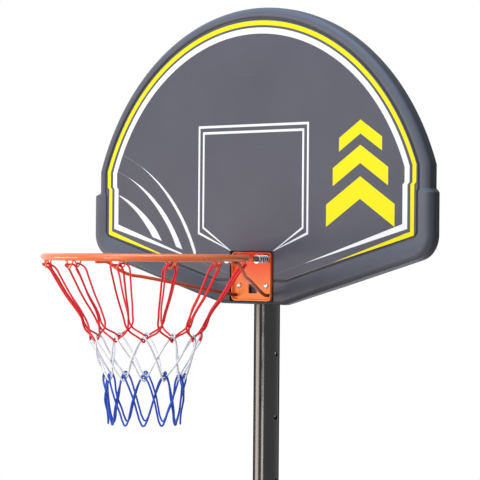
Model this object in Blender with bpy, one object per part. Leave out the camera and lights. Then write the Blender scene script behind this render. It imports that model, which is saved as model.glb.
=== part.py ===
"""Portable basketball stand with a telescoping pole, a blow-moulded fan backboard and a sprung rim.

Metres, +Z up, the board faces -Y. The origin is on the floor, under the pole's axis.
"""
from itertools import combinations
from math import asin, atan2, cos, degrees, hypot, pi, radians, sin, sqrt, tan

import bmesh
import bpy
from mathutils import Matrix, Vector

# Clearances
GAP = 0.0003                     # between pieces that touch
CUT_PAST = 0.010                 # how far a cutting shape passes a face
BORE_GAP = 0.0003                # radial, round a bolt or an axle

# Heights
RIM_HEIGHT = 3.05                # ring's plane above the floor, top setting
HOLE_PITCH = 0.1524              # height settings, six inches apart
SETTINGS = 6
TOP_HOLE_DROP = 0.233            # highest adjusting hole below the ring
ADJUSTING_HOLE_RADIUS = 0.0055

# Pole
ROUND_SIDES = 20
FINE_SIDES = 12                  # of bolts, bores and small turned pieces
UPPER_RADIUS = 0.0315
LOWER_RADIUS = 0.0365
WALL = 0.002
UPPER_TOP_RISE = 0.40            # pole top above the ring
UPPER_ENGAGEMENT = 0.255         # upper tube inside the middle one below the lock
MIDDLE_TOP_RISE = 0.045          # middle tube's top above the lock
POLE_JOINT_HEIGHT = 0.96
SPIGOT_LENGTH = 0.10
BUSH_LENGTH = 0.025
BUSH_PLUG_LENGTH = 0.03
BUSH_WALL = 0.003
CAP_DOME = 0.012

# Guide collar and lock
COLLAR_SKIRT = 0.025
COLLAR_LENGTH = 0.10
COLLAR_WALL = 0.003
COLLAR_LIP = 0.009
LOCK_HOLE_RADIUS = 0.0062
LOCK_SCREW_RADIUS = 0.0059
LOCK_BOSS_RADIUS = 0.011
LOCK_BOSS_END = 0.0495
TIP_RADIUS = 0.0045
TIP_STAND_OFF = 0.0005
TIP_NOSE = 0.0065
TIP_HEAD = 0.004
KNOB_FACE = 0.056
KNOB_HUB_RADIUS = 0.013
KNOB_HUB_LENGTH = 0.010
KNOB_RADIUS = 0.028
KNOB_LOBE = 0.0035
KNOB_LOBES = 6
KNOB_THICKNESS = 0.020
KNOB_EDGE = 0.003
SCREW_IN_KNOB = 0.014

# Base tank
TANK_FRONT = -0.20
TANK_REAR = 0.82
TANK_HALF_WIDTH_FRONT = 0.315
TANK_HALF_WIDTH_REAR = 0.355
TANK_HEIGHT = 0.150
TANK_CORNER = 0.11
TANK_FOOT_ROUND = 0.010
TANK_SHOULDER = 0.045
TANK_DRAFT = 0.014
SOCKET_BOSS_RADIUS = 0.062
SOCKET_BOSS_RISE = 0.045
SOCKET_BOSS_TOP = TANK_HEIGHT + SOCKET_BOSS_RISE
SOCKET_FLOOR = 0.030
SOCKET_BOLT_RISE = 0.023
SOCKET_BOLT_HEIGHT = TANK_HEIGHT + SOCKET_BOLT_RISE
CHANNEL_COUNT = 3
CHANNEL_FIRST = 0.165
CHANNEL_PITCH = 0.115
CHANNEL_HALF_LENGTH = 0.20
CHANNEL_WIDTH = 0.060
CHANNEL_DEPTH = 0.028
CHANNEL_DRAFT = 0.010

# Filler neck and cap
NECK_Y = 0.66
NECK_RADIUS = 0.023
NECK_MOUTH_RADIUS = 0.017
NECK_HEIGHT = 0.020
NECK_DEPTH = 0.035
FILLER_CAP_WALL = 0.004
FILLER_CAP_TOP = 0.005
FILLER_CAP_FLUTES = 8
GASKET_THICKNESS = 0.003

# Wheels
WHEEL_RADIUS = TANK_HEIGHT * 0.4
WHEEL_WIDTH = 0.036
WHEEL_FLOOR_GAP = 0.003
WHEEL_Y = -0.155
WHEEL_INNER_X = 0.266
WELL_MARGIN = 0.010
AXLE_RADIUS = 0.006
AXLE_CAP_RADIUS = 0.011
AXLE_CAP_LENGTH = 0.007
AXLE_CAP_ROUND = 0.003
WHEEL_WEB = 0.010
WHEEL_HUB_RADIUS = 0.017
TYRE_DEPTH = 0.014
TREAD_CROWN = 0.002
WEB_HOLES = 5
WEB_HOLE_RADIUS = 0.008

# Struts
STRUT_BOLT_HEIGHT = 0.62
STRUT_BORE_START = 0.020
STRUT_BORE_END = 0.080
STRUT_RADIUS = 0.011
STRUT_TAB_HALF_WIDTH = 0.015
STRUT_TAB_THICKNESS = 0.006
STRUT_FOOT_X = 0.205
STRUT_FOOT_Y = 0.575
STRUT_TAB_LENGTH = 0.036

# Fasteners
M8_RADIUS = 0.004
M8_HEAD_ACROSS = 0.013
M8_HEAD = 0.0053
M8_NUT = 0.0065
M10_RADIUS = 0.005
M10_HEAD_ACROSS = 0.017
M10_HEAD = 0.0064
M10_NUT = 0.008
BOLT_TAIL = 0.004                # thread past the nut
FOOT_BOLT_LENGTH = 0.028
SCREW_RADIUS = 0.0025
SCREW_HEAD_RADIUS = 0.005
SCREW_HEAD = 0.003
SCREW_DEPTH = 0.013

# Backboard, with heights from the ring's plane
POLE_TO_PANEL = 0.056
BOARD_TOP = 0.603
ARCH_CENTRE_RISE = 0.030
SIDE_X = 0.540
CORNER_BLOCK_X = 0.556
LEDGE_RISE = 0.157
CORNER_RADIUS = 0.038
BOTTOM_DROP = 0.112
BOTTOM_HALF_WIDTH = 0.104
LOWER_CORNER_X = 0.556
LOWER_CORNER_RISE = 0.016
FRAME_PROUD = 0.007
BLOCK_PROUD = 0.013
BOARD_BACK_Y = -0.030
FRAME_ROUND = 0.012
BACK_ROUND = 0.005
FRAME_BAND_TOP = 0.027
FRAME_BAND_SIDE = 0.025
FRAME_BAND_BLOCK = 0.047
FRAME_BAND_BOTTOM = 0.051
PANEL_STEP_RUN = 0.003
ARCH_STEPS = 20

# Kiss-off recesses on the board's back
RECESS_PITCH = 0.090
RECESS_SIDES = 6
RECESS_FIRST_X = 0.115
RECESS_MOUTH_RADIUS = 0.019
RECESS_FLOOR_RADIUS = 0.010
RECESS_DEPTH = 0.019
RECESS_EDGE_MARGIN = 0.052

# Rim pocket and plate
POCKET_HALF_WIDTH = 0.0735
POCKET_TOP = 0.017
POCKET_BOTTOM = -0.1065
POCKET_DEPTH = 0.008
RELIEF_DEPTH = 0.004
PLATE_HALF_WIDTH = 0.065
PLATE_TOP = 0.013
PLATE_BOTTOM = -0.104
PLATE_CORNER = 0.010
PLATE_SHEET = 0.003
PLATE_LIP = 0.010
WINDOW_HALF_WIDTH = 0.014
WINDOW_TOP = -0.064
WINDOW_BOTTOM = -0.086
SPRING_BOLT_X = 0.050
SPRING_BOLT_DROP = 0.003
RIM_BOLT_X = 0.045
RIM_BOLT_DROP = 0.067
SPRING_HOLE_RADIUS = 0.0052
RIM_HOLE_RADIUS = 0.0046
DOME_HEAD_RADIUS = 0.0065
DOME_HEAD = 0.004
DOME_HEAD_STAND_OFF = 0.0008     # lets the plate rock under the head

# Springs
SPRING_LENGTH = 0.038
SPRING_OUTER_RADIUS = 0.010
SPRING_WIRE_RADIUS = 0.0014
SPRING_TURNS = 6.5
POINTS_A_TURN = 8
WASHER_RADIUS = 0.011
WASHER_THICKNESS = 0.002

# Ring, neck, braces and hooks
RING_RADIUS = 0.233
RING_TUBE_RADIUS = 0.008
RING_TO_PANEL = 0.352
RING_STEPS = 44
NECK_PLATE_THICKNESS = 0.004
NECK_PLATE_HALF_WIDTH = 0.0355
NECK_FLARE_HALF_WIDTH = 0.078
NECK_FLARE_START = 0.052
BRACE_RADIUS = 0.004
BRACE_RING_ANGLE = 19.8
BRACE_BEND_SHARE = 0.19
BRACE_BEND_DROP = 0.043
BRACE_BOW = 0.005                # clears the net's loops at the nearest hook
BRACE_FOOT_X = 0.054
BRACE_FOOT_DROP = 0.090
BRACE_FOOT_RUN = 0.010
HOOK_COUNT = 12
HOOK_WIRE_RADIUS = 0.00175
HOOK_HALF_WIDTH = 0.0115
HOOK_DROP = 0.018
HOOK_NOSE = 0.002

# Net, heights below the ring's plane
CORD_RADIUS = 0.0023
CORD_GAP = 0.0016                # between cords that cross
KNOT_DROP = 0.162
KNOT_RADIUS = 0.139
RED_TIP_DROP = 0.190
RED_TIP_RADIUS = 0.127
WHITE_CROSS_DROP = 0.233
WHITE_CROSS_RADIUS = 0.108
WHITE_TIP_DROP = 0.2795
JUNCTION_RADIUS = 0.092
BLUE_CROSS_DROP = 0.323
BLUE_CROSS_RADIUS = 0.090
BLUE_LOOP_DROP = 0.382
BLUE_LOOP_RADIUS = 0.083
LOOP_HALF_WIDTH = 0.0135         # each side of a hook
LOOP_TOP_DROP = 0.0165
LINK_REACH = 0.0055              # from a tip to where the linked cord passes
LINK_OVERLAP = 0.012             # height that two linked tips share
NEAR_RUN = 0.05                  # runs of two cords further apart than this aren't measured

# Brackets behind the board
SADDLE_WALL = 0.004
EAR_HALF_WIDTH = 0.064
LOWER_BRACKET_TOP = 0.020
LOWER_BRACKET_BOTTOM = -0.090
UPPER_BRACKET_RISE = 0.290
UPPER_BRACKET_HALF_HEIGHT = 0.035
UPPER_SCREW_X = 0.052
UPPER_SCREW_SPREAD = 0.022
LOWER_CROSS_BOLT_DROP = 0.035

# Places worked out from the sizes above
TRAVEL = HOLE_PITCH * (SETTINGS - 1)
LOCK_HEIGHT = RIM_HEIGHT - TOP_HOLE_DROP - TRAVEL
MIDDLE_TOP = LOCK_HEIGHT + MIDDLE_TOP_RISE
UPPER_BOTTOM = LOCK_HEIGHT - UPPER_ENGAGEMENT
UPPER_TOP = RIM_HEIGHT + UPPER_TOP_RISE
PANEL_Y = -POLE_TO_PANEL
POCKET_FLOOR_Y = PANEL_Y + POCKET_DEPTH
PLATE_BACK_Y = POCKET_FLOOR_Y - GAP
PLATE_FACE_Y = PLATE_BACK_Y - PLATE_SHEET
RING_Y = PANEL_Y - RING_TO_PANEL
EAR_BACK_Y = BOARD_BACK_Y + GAP + SADDLE_WALL
WHEEL_Z = WHEEL_RADIUS + WHEEL_FLOOR_GAP
SPRING_HEIGHT = RIM_HEIGHT - SPRING_BOLT_DROP
RIM_BOLT_HEIGHT = RIM_HEIGHT - RIM_BOLT_DROP
ARCH_RADIUS = BOARD_TOP - ARCH_CENTRE_RISE


SIDES = ((-1, "left"), (1, "right"))


# Materials

def finish(name, colour, roughness, metallic=0.0):
    """A plain surface with one colour."""
    material = bpy.data.materials.new(name)
    material.use_nodes = True
    shader = material.node_tree.nodes["Principled BSDF"]
    shader.inputs["Base Color"].default_value = (*colour, 1.0)
    shader.inputs["Roughness"].default_value = roughness
    shader.inputs["Metallic"].default_value = metallic
    material.diffuse_color = (*colour, 1.0)
    return material


# Building blocks

def put_in_scene(name, data, material):
    """An object for a mesh or a curve."""
    data.materials.append(material)
    piece = bpy.data.objects.new(name, data)
    bpy.context.collection.objects.link(piece)
    return piece


def from_bmesh(name, shape, material, sharp_angle=35):
    """Closes a bmesh into a shaded object with its faces pointing out."""
    bmesh.ops.remove_doubles(shape, verts=shape.verts, dist=1e-6)
    bmesh.ops.recalc_face_normals(shape, faces=shape.faces)
    mesh = bpy.data.meshes.new(name)
    shape.to_mesh(mesh)
    shape.free()
    mesh.shade_smooth()
    mesh.set_sharp_from_angle(angle=radians(sharp_angle))
    return put_in_scene(name, mesh, material)


def spin_profile(shape, profile, steps, place=None, closed=True):
    """Turns a profile of (radius, height) points round Z, then places it."""
    verts = [shape.verts.new((radius, 0, height)) for radius, height in profile]
    edges = [shape.edges.new(pair) for pair in zip(verts, verts[1:])]
    if closed:
        edges.append(shape.edges.new((verts[-1], verts[0])))
    bmesh.ops.spin(shape, geom=verts + edges, cent=(0, 0, 0), axis=(0, 0, 1), angle=2 * pi, steps=steps,
                   use_merge=True)
    bmesh.ops.remove_doubles(shape, verts=verts_connected_to(verts), dist=1e-6)
    if place is not None:
        placed = [vert for vert in shape.verts if vert.tag is False]
        bmesh.ops.transform(shape, matrix=place, verts=placed)
    for vert in shape.verts:
        vert.tag = True


def verts_connected_to(seeds):
    """Every vertex that a walk along edges reaches from the seeds."""
    found = set(seeds)
    front = list(seeds)
    while front:
        vert = front.pop()
        for edge in vert.link_edges:
            other = edge.other_vert(vert)
            if other not in found:
                found.add(other)
                front.append(other)
    return list(found)


def turned(name, profile, material, steps=ROUND_SIDES, place=None, closed=True):
    """A turned piece."""
    shape = bmesh.new()
    spin_profile(shape, profile, steps, place, closed)
    return from_bmesh(name, shape, material)


def along_x(x=0.0, y=0.0, z=0.0):
    """Places a shape that was made along Z so that it lies along +X."""
    return Matrix.Translation((x, y, z)) @ Matrix.Rotation(pi / 2, 4, "Y")


def along_y(x=0.0, y=0.0, z=0.0):
    """Places a shape that was made along Z so that it lies along +Y."""
    return Matrix.Translation((x, y, z)) @ Matrix.Rotation(-pi / 2, 4, "X")


def along_z(x=0.0, y=0.0, z=0.0):
    """Places a shape that was made along Z."""
    return Matrix.Translation((x, y, z))


def solid_rod(shape, radius, start, end, place, steps=FINE_SIDES):
    """A plain rod from start to end along its placed axis."""
    spin_profile(shape, [(0, start), (radius, start), (radius, end), (0, end)], steps, place, closed=False)


def add_prism(shape, outline, low, high):
    """A prism of an XY outline, from low to high in Z."""
    verts = [shape.verts.new((x, y, low)) for x, y in outline]
    face = shape.faces.new(verts)
    raised = bmesh.ops.extrude_face_region(shape, geom=[face])
    moved = [item for item in raised["geom"] if isinstance(item, bmesh.types.BMVert)]
    bmesh.ops.translate(shape, vec=(0, 0, high - low), verts=moved)
    return verts + moved


def hex_outline(across):
    """A hexagon by its width across flats."""
    corner = across / 2 / cos(pi / 6)
    return [(corner * cos(pi / 3 * step), corner * sin(pi / 3 * step)) for step in range(6)]


def bolt(name, place, radius, head_across, head_height, length, material):
    """A hexagon bolt in one solid: its head lies below Z = 0 and its shank above."""
    shape = bmesh.new()
    rim = hex_outline(head_across)
    bottom = [shape.verts.new((x, y, -head_height)) for x, y in rim]
    top = [shape.verts.new((x, y, 0)) for x, y in rim]
    shank_steps = 12
    angles = [2 * pi * step / shank_steps for step in range(shank_steps)]
    low = [shape.verts.new((radius * cos(turn), radius * sin(turn), 0)) for turn in angles]
    high = [shape.verts.new((radius * cos(turn), radius * sin(turn), length)) for turn in angles]
    shape.faces.new(bottom[::-1])
    for step in range(6):
        after = (step + 1) % 6
        shape.faces.new((bottom[step], bottom[after], top[after], top[step]))
        shape.faces.new((top[step], low[2 * step + 1], low[2 * step]))
        shape.faces.new((top[step], top[after], low[(2 * step + 2) % shank_steps], low[2 * step + 1]))
    for step in range(shank_steps):
        after = (step + 1) % shank_steps
        shape.faces.new((low[step], low[after], high[after], high[step]))
    shape.faces.new(high)
    bmesh.ops.transform(shape, matrix=place, verts=shape.verts)
    return from_bmesh(name, shape, material)


def nut(name, place, hole_radius, across, thickness, material):
    """A hexagon nut from Z = 0 up, with its bore."""
    shape = bmesh.new()
    steps = 12
    rim = hex_outline(across)
    rings = []
    for height in (0, thickness):
        outer = [shape.verts.new((x, y, height)) for x, y in rim]
        inner = [shape.verts.new((hole_radius * cos(2 * pi * step / steps),
                                  hole_radius * sin(2 * pi * step / steps), height)) for step in range(steps)]
        rings.append((outer, inner))
    for outer, inner in rings:
        for step in range(6):
            after = (step + 1) % 6
            shape.faces.new((outer[step], inner[2 * step + 1], inner[2 * step]))
            shape.faces.new((outer[step], outer[after], inner[(2 * step + 2) % steps], inner[2 * step + 1]))
    for step in range(6):
        after = (step + 1) % 6
        shape.faces.new((rings[0][0][step], rings[0][0][after], rings[1][0][after], rings[1][0][step]))
    for step in range(steps):
        after = (step + 1) % steps
        shape.faces.new((rings[0][1][step], rings[0][1][after], rings[1][1][after], rings[1][1][step]))
    bmesh.ops.transform(shape, matrix=place, verts=shape.verts)
    return from_bmesh(name, shape, material)


def box_into(shape, low, high):
    """An upright box between two corners."""
    size = Vector(high) - Vector(low)
    middle = (Vector(high) + Vector(low)) / 2
    place = Matrix.Translation(middle) @ Matrix.Diagonal((*size, 1))
    bmesh.ops.create_cube(shape, size=1, matrix=place)


def cut_away(piece, name, shape):
    """Subtracts a bmesh from a piece, and leaves the cutter as a hidden guide."""
    cutter = from_bmesh(name, shape, piece.data.materials[0])
    cutter.hide_render = True
    cutter.display_type = "WIRE"
    boolean = piece.modifiers.new(name, "BOOLEAN")
    boolean.operation = "DIFFERENCE"
    boolean.solver = "EXACT"
    boolean.object = cutter


def join_to(piece, guide):
    """Unites a guide object with a piece, and hides the guide."""
    guide.hide_render = True
    guide.display_type = "WIRE"
    union = piece.modifiers.new(guide.name, "BOOLEAN")
    union.operation = "UNION"
    union.solver = "EXACT"
    union.object = guide


def tube(name, points, radius, material, cyclic=False, roundness=1):
    """A round tube along points, with filled ends unless it is a closed loop."""
    curve = bpy.data.curves.new(name, "CURVE")
    curve.dimensions = "3D"
    curve.bevel_depth = radius
    curve.bevel_resolution = roundness
    curve.use_fill_caps = not cyclic
    add_spline(curve, points, cyclic)
    return put_in_scene(name, curve, material)


def add_spline(curve, points, cyclic=False):
    """Adds one poly spline to a curve."""
    spline = curve.splines.new("POLY")
    spline.points.add(len(points) - 1)
    for target, place in zip(spline.points, points):
        target.co = (*place, 1)
    spline.use_cyclic_u = cyclic
    spline.use_smooth = True


def round_corner(before, corner, after, radius, steps):
    """Points of an arc that rounds a corner between two straight runs."""
    corner = Vector(corner)
    back = (Vector(before) - corner).normalized()
    ahead = (Vector(after) - corner).normalized()
    half = back.angle(ahead) / 2
    reach = radius / tan(half)
    centre = corner + (back + ahead).normalized() * (radius / sin(half))
    start = corner + back * reach - centre
    end = corner + ahead * reach - centre
    points = []
    for step in range(steps + 1):
        points.append(centre + start.slerp(end, step / steps).normalized() * radius)
    return [tuple(point) for point in points]


def inset_outline(points, distance):
    """Moves each side of a closed outline inwards by a distance."""
    moved = []
    count = len(points)
    for index in range(count):
        before = Vector(points[index - 1])
        here = Vector(points[index])
        after = Vector(points[(index + 1) % count])
        first = (here - before).normalized()
        second = (after - here).normalized()
        normal_a = Vector((-first.y, first.x))
        normal_b = Vector((-second.y, second.x))
        bisector = (normal_a + normal_b).normalized()
        moved.append(here + bisector * (distance / bisector.dot(normal_a)))
    return [tuple(point) for point in moved]


def loft(shape, rings):
    """Skins closed rings of equal length, and closes both ends."""
    loops = [[shape.verts.new(point) for point in ring] for ring in rings]
    for lower, upper in zip(loops, loops[1:]):
        count = len(lower)
        for index in range(count):
            after = (index + 1) % count
            shape.faces.new((lower[index], lower[after], upper[after], upper[index]))
    shape.faces.new(loops[0][::-1])
    shape.faces.new(loops[-1])
    return loops


# Base

def tank_outline():
    """The tank's plan, counter-clockwise from the front right corner."""
    corners = [(TANK_HALF_WIDTH_FRONT, TANK_FRONT), (TANK_HALF_WIDTH_REAR, TANK_REAR),
               (-TANK_HALF_WIDTH_REAR, TANK_REAR), (-TANK_HALF_WIDTH_FRONT, TANK_FRONT)]
    outline = []
    for index, corner in enumerate(corners):
        radius = TANK_CORNER if corner[1] > 0 else TANK_CORNER / 2
        outline += round_corner(corners[index - 1], corner, corners[(index + 1) % 4], radius, 5)
    return outline


def build_tank(plastic):
    """The water tank: drafted walls, socket boss, wheel wells, deck channels and filler neck."""
    outline = tank_outline()
    levels = [(0, TANK_FOOT_ROUND), (TANK_FOOT_ROUND, 0),
              (TANK_HEIGHT - TANK_SHOULDER, TANK_DRAFT)]
    for step in (1, 2):
        turn = step * pi / 4
        levels.append((TANK_HEIGHT - TANK_SHOULDER * (1 - sin(turn)),
                       TANK_DRAFT + TANK_SHOULDER * (1 - cos(turn))))
    rings = [[(x, y, height) for x, y in inset_outline(outline, inset)] for height, inset in levels]
    shape = bmesh.new()
    loft(shape, rings)
    tank = from_bmesh("base_tank", shape, plastic)

    shape = bmesh.new()
    foot = TANK_HEIGHT - 0.02
    flare = 0.012
    spin_profile(shape, [(0, foot), (SOCKET_BOSS_RADIUS + flare, foot),
                         (SOCKET_BOSS_RADIUS + flare, TANK_HEIGHT),
                         (SOCKET_BOSS_RADIUS, TANK_HEIGHT + flare),
                         (SOCKET_BOSS_RADIUS, SOCKET_BOSS_TOP - 0.004),
                         (SOCKET_BOSS_RADIUS - 0.004, SOCKET_BOSS_TOP), (0, SOCKET_BOSS_TOP)],
                 ROUND_SIDES, None, closed=False)
    spin_profile(shape, [(0, foot), (NECK_RADIUS, foot), (NECK_RADIUS, TANK_HEIGHT + NECK_HEIGHT),
                         (0, TANK_HEIGHT + NECK_HEIGHT)], ROUND_SIDES, along_z(0, NECK_Y, 0), closed=False)
    join_to(tank, from_bmesh("tank_bosses", shape, plastic))

    shape = bmesh.new()
    past_top = SOCKET_BOSS_TOP + 0.02
    solid_rod(shape, LOWER_RADIUS + GAP, SOCKET_FLOOR, past_top, along_z(), ROUND_SIDES)
    solid_rod(shape, NECK_MOUTH_RADIUS, TANK_HEIGHT + NECK_HEIGHT - NECK_DEPTH,
              TANK_HEIGHT + NECK_HEIGHT + 0.01, along_z(0, NECK_Y, 0))
    for side in (-1, 1):
        solid_rod(shape, M8_RADIUS + BORE_GAP, TANK_HEIGHT - 0.03, TANK_HEIGHT + 0.01,
                  along_z(side * STRUT_FOOT_X, STRUT_FOOT_Y, 0))
    cut_away(tank, "tank_upright_bores", shape)

    shape = bmesh.new()
    solid_rod(shape, AXLE_RADIUS + BORE_GAP, -WHEEL_INNER_X - 0.001, WHEEL_INNER_X + 0.001,
              along_x(0, WHEEL_Y, WHEEL_Z))
    cut_away(tank, "axle_bore", shape)

    shape = bmesh.new()
    bore_end = SOCKET_BOSS_RADIUS + CUT_PAST
    solid_rod(shape, M10_RADIUS + BORE_GAP, -bore_end, bore_end, along_x(0, 0, SOCKET_BOLT_HEIGHT))
    cut_away(tank, "socket_bolt_bore", shape)

    shape = bmesh.new()
    well_radius = WHEEL_RADIUS + WELL_MARGIN
    well_start = WHEEL_INNER_X - 0.004
    for side in (-1, 1):
        sideways = along_x(0, WHEEL_Y, WHEEL_Z) @ Matrix.Diagonal((1, 1, side, 1))
        solid_rod(shape, well_radius, well_start, TANK_HALF_WIDTH_REAR + CUT_PAST, sideways, ROUND_SIDES)
    cut_away(tank, "wheel_wells", shape)

    shape = bmesh.new()
    half_width = CHANNEL_WIDTH / 2
    for index in range(CHANNEL_COUNT):
        y = CHANNEL_FIRST + index * CHANNEL_PITCH
        mouth = []
        for side in (1, -1):
            for step in range(5):
                turn = pi / 4 * (step - 2)
                mouth.append((side * (CHANNEL_HALF_LENGTH - half_width + half_width * cos(turn)),
                              side * half_width * sin(turn)))
            levels = [(TANK_HEIGHT - CHANNEL_DEPTH, CHANNEL_DRAFT), (TANK_HEIGHT + CUT_PAST, 0)]
        loft(shape, [[(px, y + py, height) for px, py in inset_outline(mouth, inset)]
                     for height, inset in levels])
    cut_away(tank, "deck_channels", shape)
    return tank


def build_filler(plastic, rubber):
    """The screw cap over the neck and the sealing ring under it."""
    neck_top = TANK_HEIGHT + NECK_HEIGHT
    place = along_z(0, NECK_Y, 0)
    gasket_top = neck_top + GAP + GASKET_THICKNESS
    gasket = turned("cap_gasket", [(NECK_MOUTH_RADIUS, neck_top + GAP), (NECK_RADIUS, neck_top + GAP),
                                   (NECK_RADIUS, gasket_top), (NECK_MOUTH_RADIUS, gasket_top)],
                    rubber, ROUND_SIDES, place)
    inner = NECK_RADIUS + GAP
    outer = inner + FILLER_CAP_WALL
    under = gasket_top + GAP
    top = under + FILLER_CAP_TOP
    bottom = TANK_HEIGHT + 0.003
    cap = turned("filler_cap", [(0, under), (inner, under), (inner, bottom), (outer, bottom),
                                (outer, top - 0.002), (outer - 0.002, top), (0, top)],
                 plastic, ROUND_SIDES, place, closed=False)
    shape = bmesh.new()
    for flute in range(FILLER_CAP_FLUTES):
        turn = 2 * pi * (flute + 0.5) / FILLER_CAP_FLUTES
        reach = outer + 0.0012
        solid_rod(shape, 0.0025, bottom - 0.005, top + 0.005,
                  along_z(reach * cos(turn), NECK_Y + reach * sin(turn), 0), 6)
    cut_away(cap, "cap_grip_flutes", shape)
    return gasket, cap


def build_wheels(plastic, steel, black):
    """Two moulded wheels with a tread, a web and a hub, their axle and its push-on caps."""
    hub_bore = AXLE_RADIUS + GAP
    half_web = WHEEL_WEB / 2
    half = WHEEL_WIDTH / 2
    inside = WHEEL_RADIUS - TYRE_DEPTH
    shoulder = WHEEL_RADIUS - TREAD_CROWN
    profile = [(hub_bore, -half), (WHEEL_HUB_RADIUS, -half), (WHEEL_HUB_RADIUS, -half_web),
               (inside, -half_web), (inside, -half), (shoulder, -half), (WHEEL_RADIUS, -half / 2),
               (WHEEL_RADIUS, half / 2), (shoulder, half), (inside, half),
               (inside, half_web), (WHEEL_HUB_RADIUS, half_web), (WHEEL_HUB_RADIUS, half), (hub_bore, half)]
    for side, word in SIDES:
        name = "wheel_" + word
        centre = side * (WHEEL_INNER_X + half)
        wheel = turned(name, profile, plastic, ROUND_SIDES, along_x(centre, WHEEL_Y, WHEEL_Z))
        shape = bmesh.new()
        ring = (WHEEL_HUB_RADIUS + inside) / 2
        for hole in range(WEB_HOLES):
            turn = 2 * pi * hole / WEB_HOLES
            solid_rod(shape, WEB_HOLE_RADIUS, -half, half,
                      along_x(centre, WHEEL_Y + ring * cos(turn), WHEEL_Z + ring * sin(turn)), 7)
        cut_away(wheel, name + "_web_holes", shape)
    axle_end = WHEEL_INNER_X + WHEEL_WIDTH + AXLE_CAP_LENGTH - 0.002
    shape = bmesh.new()
    solid_rod(shape, AXLE_RADIUS, -axle_end, axle_end, along_x(0, WHEEL_Y, WHEEL_Z))
    from_bmesh("wheel_axle", shape, steel)
    start = WHEEL_INNER_X + WHEEL_WIDTH + GAP
    end = start + AXLE_CAP_LENGTH
    bore = AXLE_RADIUS + GAP
    for side, word in SIDES:
        mirror = along_x(0, WHEEL_Y, WHEEL_Z) @ Matrix.Diagonal((1, 1, side, 1))
        turned("axle_cap_" + word, [(0, axle_end + GAP), (bore, axle_end + GAP), (bore, start),
                                    (AXLE_CAP_RADIUS, start), (AXLE_CAP_RADIUS, end - AXLE_CAP_ROUND),
                                    (AXLE_CAP_RADIUS - AXLE_CAP_ROUND, end), (0, end)],
               black, FINE_SIDES, mirror, closed=False)


# Pole

def cross_hole(piece, name, height, radius, low=-0.1, high=0.1):
    """A hole along X through an upright tube."""
    shape = bmesh.new()
    solid_rod(shape, radius, low, high, along_x(0, 0, height))
    cut_away(piece, name, shape)


def build_poles(black, plastic):
    """Three tubes: one in the socket, one swaged into it, and one that slides in the second."""
    bore = LOWER_RADIUS - WALL
    lower = turned("pole_lower", [(bore, SOCKET_FLOOR + GAP), (LOWER_RADIUS, SOCKET_FLOOR + GAP),
                                  (LOWER_RADIUS, POLE_JOINT_HEIGHT), (bore, POLE_JOINT_HEIGHT)], black)
    cross_hole(lower, "lower_pole_socket_hole", SOCKET_BOLT_HEIGHT, M10_RADIUS + BORE_GAP)
    cross_hole(lower, "lower_pole_strut_hole", STRUT_BOLT_HEIGHT, M10_RADIUS + BORE_GAP)

    spigot = bore - GAP
    seat = POLE_JOINT_HEIGHT + GAP
    spigot_bottom = POLE_JOINT_HEIGHT - SPIGOT_LENGTH
    middle = turned("pole_middle", [(spigot - WALL, spigot_bottom), (spigot, spigot_bottom), (spigot, seat),
                                    (LOWER_RADIUS, seat), (LOWER_RADIUS, MIDDLE_TOP), (bore, MIDDLE_TOP),
                                    (bore, seat + 0.008), (spigot - WALL, seat + 0.002)], black)
    cross_hole(middle, "middle_pole_lock_hole", LOCK_HEIGHT, LOCK_HOLE_RADIUS, 0.0)

    inner = UPPER_RADIUS - WALL
    upper = turned("pole_upper", [(inner, UPPER_BOTTOM), (UPPER_RADIUS, UPPER_BOTTOM),
                                  (UPPER_RADIUS, UPPER_TOP), (inner, UPPER_TOP)], black)
    shape = bmesh.new()
    for setting in range(SETTINGS):
        solid_rod(shape, ADJUSTING_HOLE_RADIUS, -0.05, 0.05,
                  along_x(0, 0, LOCK_HEIGHT + setting * HOLE_PITCH), 8)
    for height in cross_bolt_heights():
        solid_rod(shape, M8_RADIUS + BORE_GAP, -0.05, 0.05, along_x(0, 0, height))
    cut_away(upper, "upper_pole_holes", shape)

    outer = bore - GAP
    plug = inner - GAP
    seat = UPPER_BOTTOM - GAP
    bore = plug - BUSH_WALL
    chamfer = 0.002
    turned("pole_foot_bush", [(bore, seat - BUSH_LENGTH), (outer - chamfer, seat - BUSH_LENGTH),
                              (outer, seat - BUSH_LENGTH + chamfer), (outer, seat), (plug, seat),
                              (plug, seat + BUSH_PLUG_LENGTH), (bore, seat + BUSH_PLUG_LENGTH)], plastic)
    seat = UPPER_TOP + GAP
    turned("pole_top_cap", [(0, seat - BUSH_PLUG_LENGTH), (plug, seat - BUSH_PLUG_LENGTH), (plug, seat),
                            (UPPER_RADIUS, seat), (UPPER_RADIUS, seat + CAP_DOME / 3),
                            (UPPER_RADIUS * 0.8, seat + CAP_DOME * 0.85), (0, seat + CAP_DOME)],
           plastic, closed=False)


def cross_bolt_heights():
    """Heights of the bolts that pin the two saddles to the pole."""
    return (RIM_HEIGHT - LOWER_CROSS_BOLT_DROP, RIM_HEIGHT + UPPER_BRACKET_RISE)


def build_collar(plastic):
    """The guide collar: a bush inside the middle tube, a lip on its end and a skirt outside."""
    slide = UPPER_RADIUS + GAP
    bush = LOWER_RADIUS - WALL - GAP
    skirt = LOWER_RADIUS + GAP
    outer = skirt + COLLAR_WALL
    seat = MIDDLE_TOP + GAP
    bottom = MIDDLE_TOP - COLLAR_LENGTH
    collar = turned("guide_collar", [(slide, bottom), (bush, bottom), (bush, seat), (skirt, seat),
                                     (skirt, seat - COLLAR_SKIRT), (outer, seat - COLLAR_SKIRT),
                                     (outer, seat + COLLAR_LIP / 2), (outer - 0.004, seat + COLLAR_LIP),
                                     (slide, seat + COLLAR_LIP)], plastic)
    cross_hole(collar, "collar_lock_hole", LOCK_HEIGHT, LOCK_HOLE_RADIUS, 0.0, 0.036)
    return collar


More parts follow.
